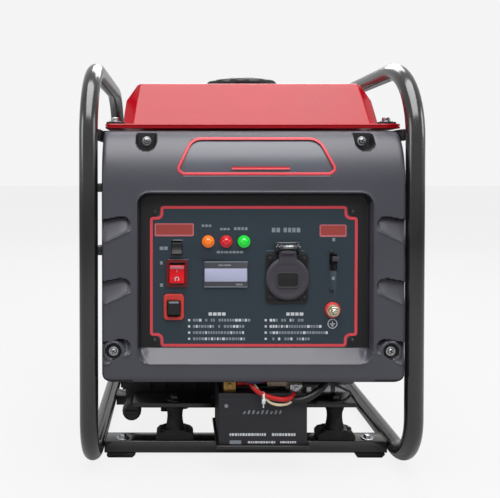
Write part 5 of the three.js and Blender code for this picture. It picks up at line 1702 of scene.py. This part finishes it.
class GENERATOR_OT_electrics(GeneratorOperator):
    """Inverter module, battery, tray, leads and the wiring under the panel"""

    bl_idname = "generator.build_electrics"
    bl_label = "Inverter, battery and wiring"

    def build(self, settings):
        inverter = Box("inverter_module")
        fins = bars(30, (-116, -104.5, 315), (8, 0, 0), (1.6, 15, 116), "cast", 0.3)
        lugs = bolts([(sx * 168, -145, 315) for sx in (-1, 1)], (0, 1, 0), 4.6, 4, 7)
        case = block(-120, 120, inverter.y0 + 3.8, -112, inverter.z0, inverter.z1, 2.0, 3)
        strap = block(inverter.x0, inverter.x1, inverter.y0, -145, 300, 330, 0.8)
        piece("inverter_heatsink", [(case, "cast"), (strap, "plate"), (fins, "cast"), (lugs, "zinc")],
              "inverter_module")
        self.battery()
        plain_piece("battery_tray_pressing", "battery_tray", "plate", 0.8)
        cells = Box("battery")
        positive = bend([(cells.x0 + 22.1, -170, 109), (40, -158, 109), (84, -130, 106), (92, -108, 104),
                         (92, -108, 98.9)], (20, 14, 3.5), 8)
        boot = turned([(0, 5), (4.6, 5), (5.2, 3), (5.2, 0.6), (4, 0), (0, 0)], "z", 92, -108, 24, 99)
        piece("lead_positive", [(tube(positive, 3, 16), "cable_red"), (boot, "rubber")],
              "battery_lead_positive")
        negative = bend([(cells.x1 - 3.9, -170, 107.2), (110, -160, 107.2), (137, -130, 98), (137, -84, 88),
                         (137, -84, 70.4)], (16, 14, 10), 8)
        lug = bolts([(137, -84, 70.2)], (0, 0, 1), 4.4, 3.6, 6.4)
        piece("lead_negative", [(tube(negative, 3.5, 16), "cable_black"), (lug, "zinc")],
              "battery_lead_negative")
        self.harness()

    def battery(self):
        box = Box("battery")
        top = 103.0
        case = block(box.x0, box.x1, box.y0, box.y1, box.z0, top - 9, 1.6, 3)
        lid = block(box.x0 - 0.4, box.x1 + 0.4, box.y0 - 0.4, box.y1 + 0.4, top - 10, top - 2.6, 1.4, 3)
        crown = block(box.x0 + 5, box.x1 - 5, box.y0 + 16, box.y1 - 5, top - 3, top, 1.0)
        plugs = bars(6, (box.x0 + 16, box.cy + 14, top - 0.2), (15, 0, 0), (9, 9, 1), "battery", 0.4)
        parts = every("battery", case, lid, crown, plugs)
        first, second = box.x0 + 6, box.x1 - 20
        for x0, x1, z1, key in ((first, first + 15, box.z1, "brass"), (second, second + 15, 109, "zinc")):
            post = block(x0, x1, -176, -164, top - 3, z1, 0.8)
            parts.append((post, key))
            parts.append((bolts([((x0 + x1) / 2, -176.2, z1 - 4.4)], (0, -1, 0), 3.6, 3, 5.2), key))
        face = box.y0 - 0.05
        # A pale label: bars in place of words.
        rng = random.Random(3)
        rows = ((50.5, ((13, 57), (64, 93))), (41.2, ((35, 68), (74, 93))))
        for row, (z, spans) in enumerate(rows):
            for a, b in spans:
                x, b = box.x0 + a, box.x0 + b
                while x < b - 1:
                    width = min(rng.choice((1.6, 2.2, 3.0)), b - x)
                    mark = round_rect(x + width / 2, z, width, 3.2 if row == 0 else 2.6, 0.3, 1)
                    parts.append((prism(mark, "y", face - 0.1, face + 0.4), "white_ink"))
                    x += width + 0.8
        patch = round_rect(box.x0 + 20, 41.2, 14, 4.2, 0.4, 1)
        parts.append((prism(patch, "y", face - 0.1, face + 0.4), "grey_ink"))
        low = 75.4
        for i in range(9):
            height, x = 4.6 if i % 3 else 3.2, box.x0 + 29 + i * 5.4
            slant = [(x, low), (x + 2.2, low), (x + 3.8, low + height), (x + 1.6, low + height)]
            parts.append((prism(slant, "y", face - 0.1, face + 0.4), "grey_ink"))
        cell = turned([(0, -0.4), (2.2, -0.3), (2.6, 0.4)], "y", box.x0 + 9, box.z1 - 28, 20, face)
        parts.append((cell, "grey_ink"))
        piece("battery_case", parts, "battery")

    def harness(self):
        """Wires between the panel's devices, their connectors and the engine, held by a tie."""
        runs = [
            ("cable_blue", 5.2, [(-24, -166, 132), (-14, -178, 123), (-2, -184, 119), (10, -183, 118),
                                 (20, -175, 121), (28, -160, 128)]),
            ("cable_cream", 1.6, [(-2, -176, 122), (6, -188, 110), (16, -190, 98), (25, -190, 91.5),
                                  (36, -189, 89.5), (48, -185, 91.5), (60, -176, 100), (68, -160, 116)]),
            ("cable_red", 2.8, [(-4, -176, 120), (2, -187, 110.5), (10, -190, 104.5), (20, -190.5, 100),
                                (31, -190, 97), (42, -188, 96), (52, -180, 98), (62, -158, 108)]),
            ("cable_black", 4.6, [(110, -150, 130), (101, -166, 119), (88, -178, 108), (74, -185, 100),
                                  (60, -186, 94.5), (48, -180, 94), (38, -162, 104)]),
            ("cable_black", 1.5, [(88, -166, 118), (96, -174, 112), (112, -172, 104), (126, -162, 94),
                                  (120, -156, 83), (102, -154, 79), (84, -160, 82)]),
        ]
        parts = [(tube(smooth_line(points, 8), radius, 14), key) for key, radius, points in runs]
        tie = turned([(4.6, 0), (5.8, 0), (5.8, 2.4), (4.6, 2.4), (4.6, 0)], "x", -189, 99.5, 28, 13)
        tail = block(13.0, 14.6, -195, -194, 88, 101, 0.3)
        lock = block(11.8, 16.0, -196.4, -193.6, 93, 98, 0.6)
        parts += every("ptfe", tie, tail, lock)
        wedge = prism([(36, 97), (46, 94), (58, 97), (64, 105), (36, 105)], "y", -168, -156, 0.6)
        parts.append((wedge, "nylon"))
        for x0, x1, y, z0, z1 in ((22, 46, -170, 105, 119), (46, 76, -166, 104, 119)):
            parts += every("nylon", block(x0, x1, y, y + 14, z0, z1, 0.8),
                           block(x0 + 4, x0 + 14, y - 1.4, y + 1, z0 + 2, z0 + 6, 0.4),
                           block(x0 + 16, x0 + 20, y - 1.0, y + 1, z0 + 1, z0 + 8, 0.4))
            parts.append((bars(3, (x0 + 6, y + 7, z0 - 0.6), (8, 0, 0), (3, 3, 2), "brass", 0.3), "brass"))
        piece("panel_wiring", parts, [], body=BODY_OF["battery"])


class GENERATOR_OT_stage(GeneratorOperator):
    """Floor, soft lights, pale surroundings and the camera"""

    bl_idname = "generator.build_stage"
    bl_label = "Stage"

    def build(self, settings):
        scene = bpy.context.scene
        scene.view_settings.view_transform = "Standard"
        floor_mesh = bpy.data.meshes.new("floor")
        reach = 12.0
        corners = [(-reach, -reach, 0), (reach, -reach, 0), (reach, reach, 0), (-reach, reach, 0)]
        floor_mesh.from_pydata(corners, [], [(0, 1, 2, 3)])
        # Bright where it is looked at, duller where it throws light up, so that undersides stay dark.
        material, tree, shader = new_surface("Studio floor", Specular_IOR_Level=0.0, Roughness=0.9)
        seen = add(tree, "ShaderNodeLightPath").outputs["Is Camera Ray"]
        tint = blend_colour(tree, noise(tree, 900, 2), srgb("#F7F7F7"), srgb("#F4F4F4"))
        dulled = blend_colour(tree, seen, srgb("#9E9E9E"), srgb("#474747"))
        tree.links.new(dulled, shader.inputs["Base Color"])
        tree.links.new(tint, shader.inputs["Emission Color"])
        tree.links.new(graded(tree, seen, 0.1, 0.935), shader.inputs["Emission Strength"])
        floor_mesh.materials.append(material)
        floor = bpy.data.objects.new("floor", floor_mesh)
        scene.collection.objects.link(floor)
        scene.world = self.surroundings()
        self.light("top_softbox", (0.0, -0.9, 1.9), (0, -0.1, 0.3), 1.9, 52)
        self.light("rear_softbox", (0.2, 1.2, 1.7), (0, 0.1, 0.3), 1.2, 22)
        self.light("left_strip", (-1.9, -0.6, 0.8), (0.0, -0.1, 0.25), 0.7, 5)
        self.light("right_strip", (1.9, -0.5, 0.9), (0.1, -0.1, 0.25), 0.7, 5)
        self.camera(scene)

    def surroundings(self):
        """Pale to the camera, dimmer as a source of light, so that dark pieces stay dark."""
        world = bpy.data.worlds.new("studio")
        world.use_nodes = True
        tree = world.node_tree
        backdrop = next(n for n in tree.nodes if n.type == "BACKGROUND")
        path = add(tree, "ShaderNodeLightPath").outputs
        mirrored = graded(tree, path["Is Glossy Ray"], 0.12, 0.5)
        total = add(tree, "ShaderNodeMath", operation="ADD")
        tree.links.new(mirrored, total.inputs[0])
        tree.links.new(graded(tree, path["Is Camera Ray"], 0.0, 0.83), total.inputs[1])
        tree.links.new(total.outputs[0], backdrop.inputs["Strength"])
        backdrop.inputs["Color"].default_value = srgb("#FAFAFB")
        return world

    def light(self, name, place, target, size, power):
        lamp = bpy.data.lights.new(name, "AREA")
        lamp.shape = "SQUARE"
        lamp.size = size
        lamp.energy = power
        obj = bpy.data.objects.new(name, lamp)
        obj.location = place
        obj.rotation_euler = (Vector(target) - Vector(place)).to_track_quat("-Z", "Y").to_euler()
        bpy.context.scene.collection.objects.link(obj)

    def camera(self, scene):
        """A level view from a little left of the middle, at the height of the panel's upper half."""
        lens = bpy.data.cameras.new("camera")
        lens.sensor_width = 36.0
        lens.lens = 44.9
        lens.shift_x = 0.149
        lens.shift_y = -0.1412
        eye = bpy.data.objects.new("camera", lens)
        eye.location = (-0.089, -0.927, 0.3714)
        pitch, yaw = math.radians(-0.95), math.radians(0.09)
        eye.matrix_world = (
            Matrix.Translation(eye.location)
            @ Matrix.Rotation(yaw, 4, "Z")
            @ Matrix.Rotation(math.pi / 2 + pitch, 4, "X")
        )
        scene.collection.objects.link(eye)
        scene.camera = eye


PIECES = (
    GENERATOR_OT_frame,
    GENERATOR_OT_fuel,
    GENERATOR_OT_housing,
    GENERATOR_OT_face,
    GENERATOR_OT_devices,
    GENERATOR_OT_outlet,
    GENERATOR_OT_engine,
    GENERATOR_OT_alternator,
    GENERATOR_OT_breathing,
    GENERATOR_OT_electrics,
    GENERATOR_OT_stage,
)


class GENERATOR_PT_panel(Panel):
    """The generator's settings and building steps"""

    bl_label = "Generator"
    bl_idname = "GENERATOR_PT_panel"
    bl_space_type = "VIEW_3D"
    bl_region_type = "UI"
    bl_category = "Generator"

    def draw(self, context):
        settings = context.scene.generator_look
        for name in GeneratorLook.__annotations__:
            self.layout.prop(settings, name)
        for operator in PIECES:
            self.layout.operator(operator.bl_idname)


CLASSES = (GeneratorLook, *PIECES, GENERATOR_PT_panel)


def register():
    for cls in CLASSES:
        bpy.utils.register_class(cls)
    bpy.types.Scene.generator_look = PointerProperty(type=GeneratorLook)


def unregister():
    del bpy.types.Scene.generator_look
    for cls in reversed(CLASSES):
        bpy.utils.unregister_class(cls)


def main():
    register()
    build_materials(look())
    TREES.update(fasteners=fastener_tree(), row=row_tree(), ring=ring_tree())
    for operator in PIECES:
        group, name = operator.bl_idname.split(".")
        result = getattr(getattr(bpy.ops, group), name)()
        if result != {"FINISHED"}:
            raise RuntimeError(f"{operator.bl_idname} did not finish")


if __name__ == "__main__":
    main()
